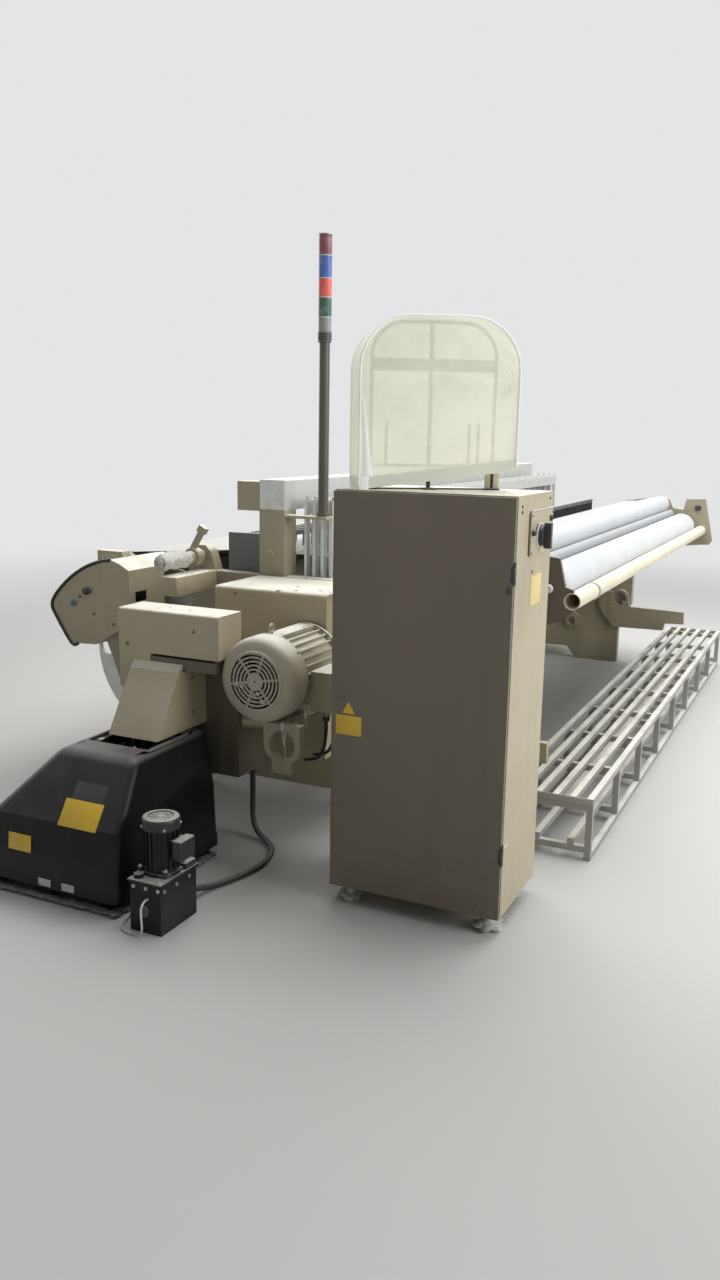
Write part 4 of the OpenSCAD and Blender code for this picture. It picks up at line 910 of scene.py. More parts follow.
def hood_bulge(u, v, seed):
    """How far a panel stands out between its seams."""
    y, z = hood_flat(u, v)
    seam = ease(min(u, 1 - u) * 9) * ease((1 - v) * 9)
    belly = 0.007 * math.sin(math.pi * u) * (0.35 + 0.65 * math.sin(math.pi * min(1.0, v * 0.9)))
    soft = 0.0045 * noise.noise((y * 5, z * 4, seed))
    away = math.hypot(y + 0.235, (z - 0.40) * 0.8)
    turn = math.atan2(z - 0.40, y + 0.30)
    creases = 0.0075 * math.exp(-(away / 0.11) ** 2) * noise.noise((turn * 6, away * 9, seed + 3))
    pulls = 0.0030 * math.exp(-((y + 0.12) / 0.13) ** 2) * noise.noise((y * 4, z * 34, seed + 5))
    return seam * (belly + soft + creases + pulls)


def hood_panel(u, v, side):
    """A point of the front panel (side -1) or of the back panel (side 1)."""
    y, z = hood_flat(u, v)
    return Vector((side * (HOOD_DEEP + hood_bulge(u, v, 2.0 + side)), y, z))


def hood_rim():
    """The seam line of a panel from its low -Y corner over the top to its low +Y corner."""
    rows = [i / HOOD_ROWS for i in range(HOOD_ROWS)]
    up = [hood_flat(0, v) for v in rows]
    down = [hood_flat(1, v) for v in reversed(rows)]
    return up + CROWN + down


RIM = hood_rim()


def rim_normal(i):
    """The direction that looks out of the hood at a point of its rim."""
    low, high = RIM[max(0, i - 1)], RIM[min(len(RIM) - 1, i + 1)]
    return Vector((0, low[1] - high[1], high[0] - low[0])).normalized()


def hood_gusset(u, v):
    i = round(u * (len(RIM) - 1))
    y, z = RIM[i]
    loose = math.sin(math.pi * u) ** 0.4 * math.sin(math.pi * v)
    out = loose * (0.006 + 0.004 * noise.noise((u * 9, v * 2, 8.0)))
    return Vector(((2 * v - 1) * HOOD_DEEP, y, z)) - rim_normal(i) * out


class LOOM_OT_hood(LoomOperator, bpy.types.Operator):
    """Sews the thin cloth hood that covers the fittings on the cabinet"""

    bl_idname = "loom.hood"
    bl_label = "Cloth hood"

    def build(self):
        bm = bmesh.new()
        for side in (-1, 1):
            add_grid(
                bm, HOOD_COLUMNS, HOOD_ROWS, lambda u, v, side=side: hood_panel(u, v, side),
                lambda u, v: (0.502 * u, 0.53 * v),
            )
        add_grid(bm, len(RIM) - 1, 12, hood_gusset, lambda u, v: (1.36 * u, 0.215 * v))
        bmesh.ops.remove_doubles(bm, verts=bm.verts, dist=1e-5)
        bmesh.ops.recalc_face_normals(bm, faces=bm.faces)
        bmesh.ops.solidify(bm, geom=bm.faces[:], thickness=0.0012)
        bm.transform(HOOD_PLACE)
        hood = make_piece("hood_shell", bm, "hood_cloth", replaced=["dust_hood"], crease=50)
        extras = [self.hem(), self.welts(), self.flap()]

    def hem(self):
        """The folded band along the lower edge."""
        count = HOOD_COLUMNS
        front = [(i / count, -1) for i in range(count + 1)]
        back = [(i / count, 1) for i in range(count, -1, -1)]
        deep = [-HOOD_DEEP + 2 * HOOD_DEEP * i / 10 for i in range(1, 10)]
        line = []
        for u, side in front:
            line.append((hood_panel(u, 0.02, side), Vector((side, 0, 0))))
        line += [(Vector((x, HOOD_HALF, hood_bottom(HOOD_HALF))), Vector((0, 1, 0))) for x in deep]
        for u, side in back:
            line.append((hood_panel(u, 0.02, side), Vector((side, 0, 0))))
        line += [(Vector((-x, -HOOD_HALF, hood_bottom(-HOOD_HALF))), Vector((0, -1, 0))) for x in deep]
        line.append(line[0])

        def shape(u, v):
            at, out = line[round(u * (len(line) - 1))]
            low = hood_bottom(at.y)
            puff = 0.0016 + 0.0012 * math.sin(math.pi * v) + 0.0010 * noise.noise((at.y * 30, at.x * 30, v))
            return Vector((at.x, at.y, low - 0.001 + HEM * v)) + out * puff

        bm = bmesh.new()
        add_grid(bm, len(line) - 1, 5, shape, lambda u, v: (1.43 * u, HEM * v))
        bmesh.ops.remove_doubles(bm, verts=bm.verts, dist=1e-5)
        bmesh.ops.recalc_face_normals(bm, faces=bm.faces)
        bmesh.ops.solidify(bm, geom=bm.faces[:], thickness=0.0012)
        bm.transform(HOOD_PLACE)
        return make_piece("hood_hem", bm, "hem_cloth", crease=60)

    def welts(self):
        """The piped seams round both panels."""
        bm = bmesh.new()
        for side in (-1, 1):
            path = [(side * (HOOD_DEEP + 0.0012), y, z) for y, z in RIM[1:-1]]
            shift = [rim_normal(i) * -0.0015 for i in range(1, len(RIM) - 1)]
            add_swept(bm, [Vector(p) + s for p, s in zip(path, shift)], 0.0034, 8)
        bm.transform(HOOD_PLACE)
        return make_piece("hood_welts", bm, "welt_cloth", crease=60)

    def flap(self):
        """The loose fold beside the open end of the front seam."""

        def shape(u, v):
            y = HOOD_HALF - 0.010 - 0.028 * (1 - v) * (1 - u) - 0.004 * (1 - v)
            return Vector((-HOOD_DEEP - 0.0030 - 0.0035 * math.sin(math.pi * u) * (1 - v), y, 0.045 + 0.25 * v))

        bm = bmesh.new()
        add_grid(bm, 6, 16, shape, lambda u, v: (0.03 * u, 0.25 * v))
        bmesh.ops.solidify(bm, geom=bm.faces[:], thickness=0.0010)
        add_box(bm, (-HOOD_DEEP - 0.004, HOOD_HALF - 0.032, 0.002), (-HOOD_DEEP - 0.001, HOOD_HALF - 0.004, 0.046), 0.0008)
        bm.transform(HOOD_PLACE)
        return make_piece("hood_fold", bm, "welt_cloth", crease=60, tidy=True)


# Black cover of the cam unit


def set_level(verts, level):
    """Moves the four corners of a rectangle to (x0, x1, y0, y1, z) in millimetres."""
    mid = sum((v.co for v in verts), Vector()) / 4
    x0, x1, y0, y1, z = level
    for v in verts:
        v.co = spot(x1 if v.co.x > mid.x else x0, y1 if v.co.y > mid.y else y0, z)


def add_stack(bm, levels):
    """A solid that goes from one rectangle to the next. Gives its top face."""
    made = bmesh.ops.create_grid(bm, x_segments=1, y_segments=1, size=0.5)["verts"]
    top = made[0].link_faces[0]
    set_level(made, levels[0])
    for level in levels[1:]:
        geom = bmesh.ops.extrude_face_region(bm, geom=[top])["geom"]
        top = next(g for g in geom if isinstance(g, bmesh.types.BMFace))
        set_level(list(top.verts), level)
    return top


def inset_to(bm, face, level):
    bmesh.ops.inset_individual(bm, faces=[face], thickness=0.001)
    set_level(list(face.verts), level)


class LOOM_OT_cam_cover(LoomOperator, bpy.types.Operator):
    """Moulds the black cover of the cam unit, with its sunken slot, skirt and blank plates"""

    bl_idname = "loom.cam_cover"
    bl_label = "Cam unit cover"

    def build(self):
        bm = bmesh.new()
        levels = [
            (-1250, -640, 50, 680, 45), (-1228, -644, 58, 600, 282), (-1090, -660, 85, 410, 495),
        ]
        add_stack(bm, levels)
        bmesh.ops.recalc_face_normals(bm, faces=bm.faces)
        low = levels[0][4] * MM + 0.001
        edges = [e for e in bm.edges if max(v.co.z for v in e.verts) > low]
        bevel(bm, edges, 0.034, 6)
        top = max(bm.faces, key=lambda f: f.calc_area() if f.normal.z > 0.99 else 0)
        corners = len(top.verts)
        if corners != 4:
            raise RuntimeError(f"the cover's top has {corners} corners, and not 4")
        rings = []
        for level in (
            (-1000, -760, 96, 384, 495), (-994, -766, 102, 378, 497.5), (-988, -772, 108, 372, 497),
            (-984, -776, 112, 368, 484), (-976, -784, 120, 360, 482), (-946, -835, 127, 347, 482),
            (-943, -838, 130, 344, 452),
        ):
            inset_to(bm, top, level)
            rings.append(set(top.verts))
        known = set().union(*rings)
        columns = [
            e for e in bm.edges if set(e.verts) <= known and not any(set(e.verts) <= ring for ring in rings)
        ]
        bevel(bm, columns, 0.020, 5)
        for z in (88, 96):
            geom = bm.verts[:] + bm.edges[:] + bm.faces[:]
            bmesh.ops.bisect_plane(bm, geom=geom, dist=1e-6, plane_co=(0, 0, z * MM), plane_no=(0, 0, 1))
        mid = spot(-945, 365, 0)
        for v in bm.verts:
            if v.co.z < 0.0885:
                v.co.x += math.copysign(0.0028, v.co.x - mid.x)
                v.co.y += math.copysign(0.0028, v.co.y - mid.y)
        bmesh.ops.recalc_face_normals(bm, faces=bm.faces)
        make_piece("moulded_cover", bm, "black_cover", replaced=["cam_cover"], crease=42)
        self.plates()

    def plates(self):
        """The blank plates on the sloping and the upright front."""
        foot, head = Vector((-1228, 0, 282)), Vector((-1090, 0, 494))
        way = (head - foot).normalized()
        out = Vector((-way.z, 0, way.x))
        for name, look, y0, y1, z0, z1 in (
            ("slope_plate_dark", "dark_plate", 152, 286, 353, 408),
            ("slope_plate_yellow", "yellow_plate", 147, 306, 273, 355),
        ):
            ends = [foot + way * ((z - foot.z) / way.z) for z in (z0, z1)]
            mid = (ends[0] + ends[1]) / 2 + out * 0.5
            long = (ends[1] - ends[0]).length - 3
            turn = Matrix((way, Vector((0, 1, 0)), out)).transposed().to_4x4()
            bm = bmesh.new()
            add_box(bm, (-long / 2 * MM, (y0 - y1) / 2 * MM, -0.0008), (long / 2 * MM, (y1 - y0) / 2 * MM, 0.0008), 0.0004)
            bm.transform(Matrix.Translation(spot(mid.x, (y0 + y1) / 2, mid.z)) @ turn)
            make_piece(name, bm, look)
        bm = bmesh.new()
        add_box(bm, spot(-1242.4, 420, 155), spot(-1239.2, 518, 214), 0.0004, turn=Matrix.Rotation(math.radians(5.3), 4, "Y"))
        make_piece("front_plate_yellow", bm, "yellow_plate")
        bm = bmesh.new()
        for y in (230, 330):
            add_box(bm, spot(-1253.6, y, 52), spot(-1250.5, y + 52, 78), 0.0005)
        make_piece("skirt_plates", bm, "pale_plate")


# Motor, covers and pump

MOTOR_Y = -170
MOTOR_Z = 720

# The grille of the fan cowl, in millimetres: radius, width and spacing of its slots, and how many lie in a row
GRILLE_R = 98.0
SLOT_WIDE = 7.5
SLOT_STEP = 14.4
SLOTS_DEEP = 5


class LOOM_OT_motor(LoomOperator, bpy.types.Operator):
    """Spins the fan cowl with its slotted grille, and adds the motor's screws and fittings"""

    bl_idname = "loom.motor"
    bl_label = "Motor fittings"

    def build(self):
        at = spot(-640.3, MOTOR_Y, MOTOR_Z)
        bm = bmesh.new()
        shell = [
            (155, 0), (155, 5), (154, 6), (154, 62), (152.6, 73), (148.5, 83), (141.5, 91.5), (132, 97.5),
            (121, 101.3), (112.5, 102.6), (109.6, 104), (108.6, 106.4), (106.6, 108), (103, 108.4),
            (GRILLE_R, 108.4), (GRILLE_R, 105), (105, 104), (112, 99.5), (130, 93.5), (143, 83), (150, 66), (151, 0),
        ]
        add_turned(bm, [(r * MM, h * MM) for r, h in shell], at, (-1, 0, 0), 96, closed=True)
        rings = [(GRILLE_R - k * SLOT_STEP - SLOT_WIDE, GRILLE_R - (k + 1) * SLOT_STEP) for k in range(SLOTS_DEEP - 1)]
        rings.append((GRILLE_R - SLOTS_DEEP * SLOT_STEP + SLOT_STEP - SLOT_WIDE, 3.8))
        for outer, inner in rings:
            profile = [
                (inner, 103), (outer, 103), (outer, 107), (outer - 1.2, 108.4), (inner + 1.2, 108.4), (inner, 107)
            ]
            add_turned(bm, [(r * MM, h * MM) for r, h in profile], at, (-1, 0, 0), 72, closed=True)
        for turn in range(6):
            spin = Matrix.Translation(at) @ Matrix.Rotation(math.radians(20 + 60 * turn), 4, "X")
            part = bmesh.new()
            add_box(part, (-0.1079, -0.0042, 0.029), (-0.1034, 0.0042, 0.0995), 0.0012)
            add_mesh(bm, part, spin)
        make_piece("spun_cowl", bm, "motor_enamel", replaced=["fan_cowl"], crease=32)
        bm = bmesh.new()
        for turn in (50, 140, 230, 320):
            away = Vector((0, math.cos(math.radians(turn)), math.sin(math.radians(turn))))
            add_bolt(bm, spot(-652, MOTOR_Y, MOTOR_Z) + away * 0.1545, away, 0.0045, "screw")
        for turn in (45, 135, 225, 315):
            away = Vector((0, math.cos(math.radians(turn)), math.sin(math.radians(turn))))
            add_bolt(bm, spot(-372.4, MOTOR_Y, MOTOR_Z) + away * 0.138, (-1, 0, 0), 0.007)
        for x in (-566, -494):
            for z in (604, 741):
                add_bolt(bm, spot(x, -412.8, z), (0, -1, 0), 0.0042, "screw")
        make_piece("motor_screws", bm, "steel")
        bm = bmesh.new()
        for x in (-565, -495):
            base = spot(x, -358.3, 578)
            profile = [
                (0, 0), (8, 0), (12, -3), (13.5, -8), (13.5, -16), (11, -19), (9, -20), (6, -20), (0, -20)
            ]
            add_turned(bm, [(r * MM, h * MM) for r, h in profile], base, (0, 0, 1), 24)
            route = [(x, -358, 566), (x + 2, -357, 520), (x + 18, -340, 450), (x + 48, -300, 400), (x + 80, -230, 372)]
            add_swept(bm, smooth_path([spot(*p) for p in route], 6), 0.0065, 10)
        make_piece("motor_glands", bm, "rubber", crease=45, tidy=True)
        bm = bmesh.new()
        add_box(bm, spot(-634, -205, 851), spot(-370, -135, 866), 0.003)
        make_piece("motor_top_rib", bm, "motor_enamel")


COVER_SCREWS = [
    ((-750, 81, 874), (-1, 0, 0), 6.5), ((-750, 374, 804), (-1, 0, 0), 6.5), ((-350, 158, 955), (-1, 0, 0), 6.5),
    ((-350, -222, 560), (-1, 0, 0), 6.5), ((-690, 130, 560), (0, -1, 0), 5.5), ((-690, 130, 690), (0, -1, 0), 5.5),
    ((-250, 947, 785), (-1, 0, 0), 6.0), ((-250, 842, 748), (-1, 0, 0), 6.0),
]


class LOOM_OT_covers(LoomOperator, bpy.types.Operator):
    """Adds the screws, knobs, seals and plates of the drive and let-off covers, and a painted shadow under the gear
    cover
    """

    bl_idname = "loom.covers"
    bl_label = "Cover fittings"

    def build(self):
        bm = bmesh.new()
        for at, axis, size in COVER_SCREWS:
            add_bolt(bm, spot(*at), axis, size * MM, "screw")
        make_piece("cover_screws", bm, "screw_metal")
        self.let_off()
        # A black strip on the neck under the gear cover's lower edge: painted shadow.
        bm = bmesh.new()
        add_box(bm, spot(-749.9, -8, 767), spot(-748.2, 262, 775.5), 0.0004)
        make_piece("cover_seam", bm, "oily_black")
        bm = bmesh.new()
        add_box(bm, spot(-775.5, 130.5, 720.2), spot(-748.6, 344.5, 747))
        for v in bm.verts:
            if v.co.x < spot(-760, 0, 0).x and v.co.z > 0.73:
                v.co.z = 0.7208
        make_piece("duct_lid", bm, "beige_sheet")
        bm = bmesh.new()
        add_box(bm, spot(-300, 472, 905), spot(-2, 560, 984), 0.003)
        make_piece("easing_box", bm, "beige_sheet")
        bm = bmesh.new()
        add_box(bm, spot(-252, 716, 858), spot(-180, 719.6, 900), 0.001)
        make_piece("let_off_slot", bm, "oily_black")

    def let_off(self):
        """The rubber edging, hand knob and plug of the curved end cover."""
        edge = [
            (850, 1026.5), (900, 1018.5), (980, 990.5), (1060, 943.5), (1130, 883.5), (1170.5, 834.5), (1178.5, 800),
            (1158.5, 761), (1077, 644.5), (1040, 645.5),
        ]
        bm = bmesh.new()
        path = smooth_path([spot(-250.6, y, z) for y, z in edge], 4)
        add_swept(bm, path, 0.0075, 10)
        make_piece("cover_edging", bm, "rubber", crease=50)
        bm = bmesh.new()
        knob = [(0, 0), (11, 0), (15.5, 2), (16, 12), (14.5, 17), (11, 19.5), (5, 20), (4, 18.5), (0, 18.5)]
        add_turned(bm, [(r * MM, h * MM) for r, h in knob], spot(-250, 981, 883), (-1, 0, 0), 28)
        add_box(bm, spot(-264, 956, 878), spot(-252, 981, 888), 0.002)
        add_rod(bm, spot(-256, 1020, 855), spot(-250, 1020, 855), 0.005, 16, edge=0.001)
        make_piece("let_off_knob", bm, "plastic", tidy=True)
        bm = bmesh.new()
        plug = [(0, 0), (14, 0), (14.5, 3), (13, 5), (10.5, 5), (9.5, 2.5), (0, 2.5)]
        add_turned(bm, [(r * MM, h * MM) for r, h in plug], spot(-250, 1056, 824), (-1, 0, 0), 28)
        make_piece("let_off_plug", bm, "blue_plastic", tidy=True)


PUMP_MID = (-1187.5, -86)
TANK_TOP = 175


class LOOM_OT_pump(LoomOperator, bpy.types.Operator):
    """Adds the fan cap, flange, lid, screws and sight glass of the pump unit"""

    bl_idname = "loom.pump"
    bl_label = "Pump fittings"

    def build(self):
        x, y = PUMP_MID
        bm = bmesh.new()
        cap = [
            (0, 3.5), (13, 3.5), (14.5, 1.5), (17, 0.6), (40, 0.6), (42, 4.2), (53, 4.2), (58, 2.5), (61.6, -3),
            (62, -9), (62, -33), (60.8, -34.5), (0, -34.5),
        ]
        add_turned(bm, [(r * MM, h * MM) for r, h in cap], spot(x, y, 360), (0, 0, 1), 56)
        for turn in range(0, 360, 30):
            spin = Matrix.Translation(spot(x, y, 361.2)) @ Matrix.Rotation(math.radians(turn), 4, "Z")
            part = bmesh.new()
            add_box(part, (0.018, -0.002, -0.001), (0.040, 0.002, 0.0012), 0.0005)
            add_mesh(bm, part, spin)
        make_piece("pump_fan_cap", bm, "pump_grey", tidy=True)
        bm = bmesh.new()
        add_box(bm, spot(x - 57, y - 57, 175.5), spot(x + 57, y + 57, 185), 0.004)
        add_box(bm, spot(x - 46, y - 46, 184), spot(x + 46, y + 46, 199), 0.008, 3)
        for turn in (45, 135, 225, 315):
            away = Vector((math.cos(math.radians(turn)), math.sin(math.radians(turn)), 0))
            add_rod(bm, spot(x, y, 184) + away * 0.069, spot(x, y, 200) + away * 0.069, 0.009, 18, edge=0.002)
        make_piece("pump_flange", bm, "pump_grey")
        bm = bmesh.new()
        for turn in (45, 135, 225, 315):
            away = Vector((math.cos(math.radians(turn)), math.sin(math.radians(turn)), 0))
            add_bolt(bm, spot(x, y, 200) + away * 0.069, (0, 0, 1), 0.0055)
            add_bolt(bm, spot(x, y, 333) + away * 0.0625, away, 0.0042, "screw")
        for px, py in ((-1279, -143), (-1279, -37), (-1097, -143), (-1097, -37)):
            add_bolt(bm, spot(px, py, TANK_TOP), (0, 0, 1), 0.006)
        for py in (-140, -94, -46):
            add_bolt(bm, spot(-1285, py, 152), (-1, 0, 0), 0.0055)
        for px in (-1265, -1200, -1130):
            add_bolt(bm, spot(px, -150, 146), (0, -1, 0), 0.0055)
        make_piece("pump_bolts", bm, "steel")
        bm = bmesh.new()
        rim = [(0, 0), (20, 0), (20, 3), (18.5, 5), (14.5, 5), (13, 2.6), (0, 2.2)]
        add_turned(bm, [(r * MM, h * MM) for r, h in rim], spot(-1285, -84, 73), (-1, 0, 0), 32)
        make_piece("pump_sight_glass", bm, "glass_dark", tidy=True)
        bm = bmesh.new()
        add_box(bm, spot(-1291, -156, 170), spot(-1084, -24, 175.4), 0.002)
        add_box(bm, spot(-1150, -153, 175), spot(-1092, -120, 196), 0.003)
        add_box(bm, spot(-1222, -186, 232), spot(-1142, -150, 300), 0.006, 3)
        make_piece("pump_lid", bm, "pump_grey")


# Cabinet and signal tower


# The door's lock, as (y, z)
LOCK = (-1092, 1124)


class LOOM_OT_cabinet(LoomOperator, bpy.types.Operator):
    """Adds the cabinet's hinges, blank plates and switch fittings"""

    bl_idname = "loom.cabinet"
    bl_label = "Cabinet fittings"

    def build(self):
        bm = bmesh.new()
        for z in (280, 1172):
            add_box(bm, spot(-811.2, -1109.4, z - 34), spot(-797, -1103.4, z + 36), 0.0012)
        add_box(bm, spot(-795, -1104.6, 66), spot(-791, -1103.7, 1398), 0.0003)
        make_piece("hinge_slots", bm, "dark_plate")
        bm = bmesh.new()
        for z in (280, 1172):
            add_rod(bm, spot(-811, -1104, z - 22.8), spot(-811, -1104, z + 22.8), 0.0064, 18, edge=0.0006)
        make_piece("hinge_pins", bm, "dark_plate")
        bm = bmesh.new()
        add_box(bm, spot(-812.2, -614, 602), spot(-810.9, -521, 668), 0.0004)
        triangle = bmesh.new()
        add_rod(triangle, (-0.0006, 0, 0), (0.0006, 0, 0), 0.026, 3)
        triangle.transform(Matrix.Translation(spot(-811.5, -567, 688)) @ Matrix.Rotation(math.radians(90), 4, "X"))
        add_mesh(bm, triangle)
        make_piece("door_plates", bm, "yellow_plate", "door")
        bm = bmesh.new()
        add_box(bm, spot(-622, -1105.2, 1050), spot(-508, -1103.9, 1146), 0.0004)
        make_piece("side_plate", bm, "faded_yellow")
        bm = bmesh.new()
        for x in (-655, -430):
            for z in (1222, 1338):
                add_bolt(bm, spot(x, -1110.3, z), (0, -1, 0), 0.0045, "screw")
        make_piece("switch_screws", bm, "steel")
        bm = bmesh.new()
        add_turned(
            bm, [(r * MM, h * MM) for r, h in ((0, 0), (42, 0), (42, 2), (38, 3.4), (35, 3.4), (35, 1), (0, 1))],
            spot(-565, -1110.3, 1270), (0, -1, 0), 40,
        )
        make_piece("switch_bezel", bm, "pale_plate", tidy=True)
        bm = bmesh.new()
        lock = [(0, 0), (11, 0), (11, 4), (9.5, 6), (4, 6.5), (0, 6.5)]
        add_turned(bm, [(r * MM, h * MM) for r, h in lock], spot(-450, -1110.3, 1318), (0, -1, 0), 24)
        add_box(bm, spot(-452, -1118.2, 1310), spot(-448, -1116.4, 1326), 0.0006)
        make_piece("switch_lock", bm, "plastic", tidy=True)
        bm = bmesh.new()
        add_box(bm, (-0.007, -0.19, 0.0005), (0.007, 0.19, 0.0045), 0.001)
        bm.transform(HOOD_PLACE)
        make_piece("hood_base_bar", bm, "dark_metal")
        bm = bmesh.new()
        add_box(bm, (-0.0036, -0.2226, 0.0052), (0.0036, -0.1774, 0.0756), 0.001)
        bm.transform(HOOD_PLACE)
        make_piece("hood_leg_plate", bm, "beige_sheet")
        self.side_details()

    def side_details(self):
        """A painted shadow beside the switch plate, the knob and screw holes beside the switch, and the door's lock.
        """
        bm = bmesh.new()
        # A dark strip left of the switch plate: painted shadow. The discs below are dark screw holes.
        add_box(bm, spot(-672, -1105.2, 1215), spot(-667.4, -1103.9, 1345), 0.0004)
        for x, z in ((-616, 1159), (-444, 1380), (-747, 1369), (-747, 1352)):
            add_rod(bm, spot(x, -1105.4, z), spot(x, -1103.9, z), 0.0048, 16)
        make_piece("side_holes", bm, "oily_black")
        bm = bmesh.new()
        add_box(bm, spot(-664, -1111.6, 1349.6), spot(-419, -1104, 1353), 0.0006)
        make_piece("switch_ledge", bm, "pale_plate")
        bm = bmesh.new()
        knob = [(0, 0), (10, 0), (10, 6), (8, 12), (0, 13)]
        add_turned(bm, [(r * MM, h * MM) for r, h in knob], spot(-651, -1110.3, 1284), (0, -1, 0), 24)
        lever = Matrix.Rotation(math.radians(-48), 4, "Y")
        add_box(bm, spot(-656, -1122, 1296), spot(-624, -1118, 1302), 0.0012, turn=lever)
        make_piece("side_knob", bm, "plastic", tidy=True)
        bm = bmesh.new()
        add_box(bm, spot(-815.5, LOCK[0] - 6, LOCK[1] - 12), spot(-811, LOCK[0] + 6, LOCK[1] + 12), 0.0015)
        make_piece("door_lock", bm, "plastic", "door")


TOWER_AT = (30, -28)
TOWER_LENSES = [("lens_white", 58), ("lens_green", 75), ("lens_orange", 72), ("lens_blue", 85), ("lens_red", 80)]


class LOOM_OT_tower(LoomOperator, bpy.types.Operator):
    """Stacks the ribbed lenses of the signal tower"""

    bl_idname = "loom.tower"
    bl_label = "Signal tower"

    def build(self):
        z = 1965.0
        for look, height in TOWER_LENSES:
            bm = bmesh.new()
            ribs = round(height / 7)
            profile = [(0, 0), (25.5, 0), (27, 1)]
            for i in range(ribs):
                low = 3 + (height - 8) * i / ribs
                high = 3 + (height - 8) * (i + 0.5) / ribs
                profile += [(26.2, low), (27, (low + high) / 2), (26.2, high)]
            profile += [(27, height - 4), (26.6, height - 2), (25, height - 1.5), (0, height - 1.5)]
            add_turned(bm, [(r * MM, h * MM) for r, h in profile], spot(*TOWER_AT, z), (0, 0, 1), 40)
            make_piece("tower_" + look, bm, look, replaced=["signal_lenses"], tidy=True)
            z += height
        bm = bmesh.new()
        low = 1965.0
        for _, height in TOWER_LENSES:
            low += height
            ring = ((20, -2), (27.5, -2), (27.8, -1.4), (27.8, 0.6), (27.5, 1.2), (20, 1.2))
            add_turned(bm, [(r * MM, h * MM) for r, h in ring], spot(*TOWER_AT, low), (0, 0, 1), 40, closed=True)
        make_piece("tower_rings", bm, "pale_plate")
        bm = bmesh.new()
        for low in (1937, 1946, 1955):
            ring = ((20, 0), (27.4, 0), (28.2, 1), (28.2, 6), (27.4, 7), (20, 7))
            add_turned(bm, [(r * MM, h * MM) for r, h in ring], spot(*TOWER_AT, low), (0, 0, 1), 40, closed=True)
        make_piece("tower_collar", bm, "plastic")


# Cloth and yarn

WEB_LEFT, WEB_RIGHT = 130, 3480
TAKE_UP = Vector((-800, 1130))
PRESS = Vector((-864.7, 1070.48))
CLOTH_ROLL = Vector((-950, 992))
BACKREST = Vector((1055, 960))
WARP_BEAM = Vector((825, 560))
WARP_LINE = 1060
FELL = -343


def angle_of(way):
    return math.atan2(way.y, way.x)


def touch_angle(at, r, point, side):
    """Where a line from a point touches a roller, as an angle."""
    way = point - at
    return angle_of(way) + side * math.acos(r / way.length)


def arc(at, r, start, end, steps):
    turns = [start + (end - start) * i / steps for i in range(steps + 1)]
    return [at + r * Vector((math.cos(a), math.sin(a))) for a in turns]


def web_path():
    """The cloth from the fell over the breast beam and round the take-up and press rollers, as (y, z)."""
    nose, tail = Vector((-570, 1146.9)), Vector((-630, 1146.9))
    turn = angle_of(CLOTH_ROLL - TAKE_UP)
    first = touch_angle(TAKE_UP, 58.9, tail, 1)
    onto = arc(TAKE_UP, 58.9, first, turn + math.tau, 40)
    off = arc(PRESS, (PRESS - TAKE_UP).length - 58.9 - 0.3, turn + math.radians(174), turn, 24)
    rise = [Vector((FELL, WARP_LINE)).lerp(nose, i / 10) for i in range(11)]
    return rise + [tail] + onto + off


def warp_path():
    """The warp from its beam round the backrest to the back of the shed, as (y, z)."""
    rise = BACKREST - WARP_BEAM
    lean = angle_of(rise) - math.acos((300.9 - 52.9) / rise.length)
    off = WARP_BEAM + 300.9 * Vector((math.cos(lean), math.sin(lean)))
    leave = touch_angle(BACKREST, 52.9, Vector((450, WARP_LINE)), -1)
    return [off] + arc(BACKREST, 52.9, lean, leave, 24) + [Vector((450, WARP_LINE)), Vector((202, WARP_LINE))]


def path_length(path):
    return sum((b - a).length for a, b in zip(path, path[1:])) * MM


def add_web(bm, path, x0, x1, columns, ripple=0.0):
    """A sheet that follows a path in Y and Z from x0 to x1."""
    span = len(path) - 1

    def shape(u, v):
        at = path[round(v * span)]
        wave = ripple * noise.noise((u * 26, v * 3, 4.0)) * min(1.0, 6 * v, 6 * (1 - v))
        return spot(x0 + (x1 - x0) * u, at.x, at.y + wave)

    add_grid(bm, columns, span, shape, lambda u, v: ((x1 - x0) * MM * u, path_length(path) * v))


class LOOM_OT_cloth(LoomOperator, bpy.types.Operator):
    """Lays the woven cloth and winds the cloth roll"""

    bl_idname = "loom.cloth"
    bl_label = "Cloth"

    def build(self):
        path = web_path()
        bm = bmesh.new()
        add_web(bm, path, WEB_LEFT, WEB_RIGHT, 60)
        bmesh.ops.recalc_face_normals(bm, faces=bm.faces)
        bmesh.ops.solidify(bm, geom=bm.faces[:], thickness=0.0008)
        web = make_piece("cloth_sheet", bm, "cloth", replaced=["cloth_web"], crease=50)
        path_length(path)
        bm = bmesh.new()
        rng = random.Random(sizes().seed)
        layers = 9
        profile = [(38.4, 3)] + [(39 + 46 * (i + 0.5) / layers, rng.uniform(0, 5)) for i in range(layers)]
        profile += [(85.2, 6)]
        runs = 70
        for i in range(1, runs):
            profile.append((85.6 + rng.uniform(-0.5, 0.3), 6 + 3338 * i / runs))
        profile += [(85.2, 3344)]
        profile += [(39 + 46 * (i + 0.5) / layers, 3350 - rng.uniform(0, 5)) for i in reversed(range(layers))]
        profile += [(38.4, 3347)]
        add_turned(
            bm, [(r * MM, h * MM) for r, h in profile], spot(WEB_LEFT, *CLOTH_ROLL), (1, 0, 0), 72, closed=True
        )
        make_piece("wound_cloth", bm, "cloth", "cloth_take", ["cloth_roll"], crease=45)
        bm = bmesh.new()
        add_turned(
            bm, [(r * MM, h * MM) for r, h in ((32.6, 0), (36.6, 0.6), (37.4, 3), (37.4, 11), (36.6, 13.4), (32.6, 14))],
            spot(370, -1072, 966), (1, 0, 0), 48, closed=True,
        )
        make_piece("bar_joint_ring", bm, "steel")


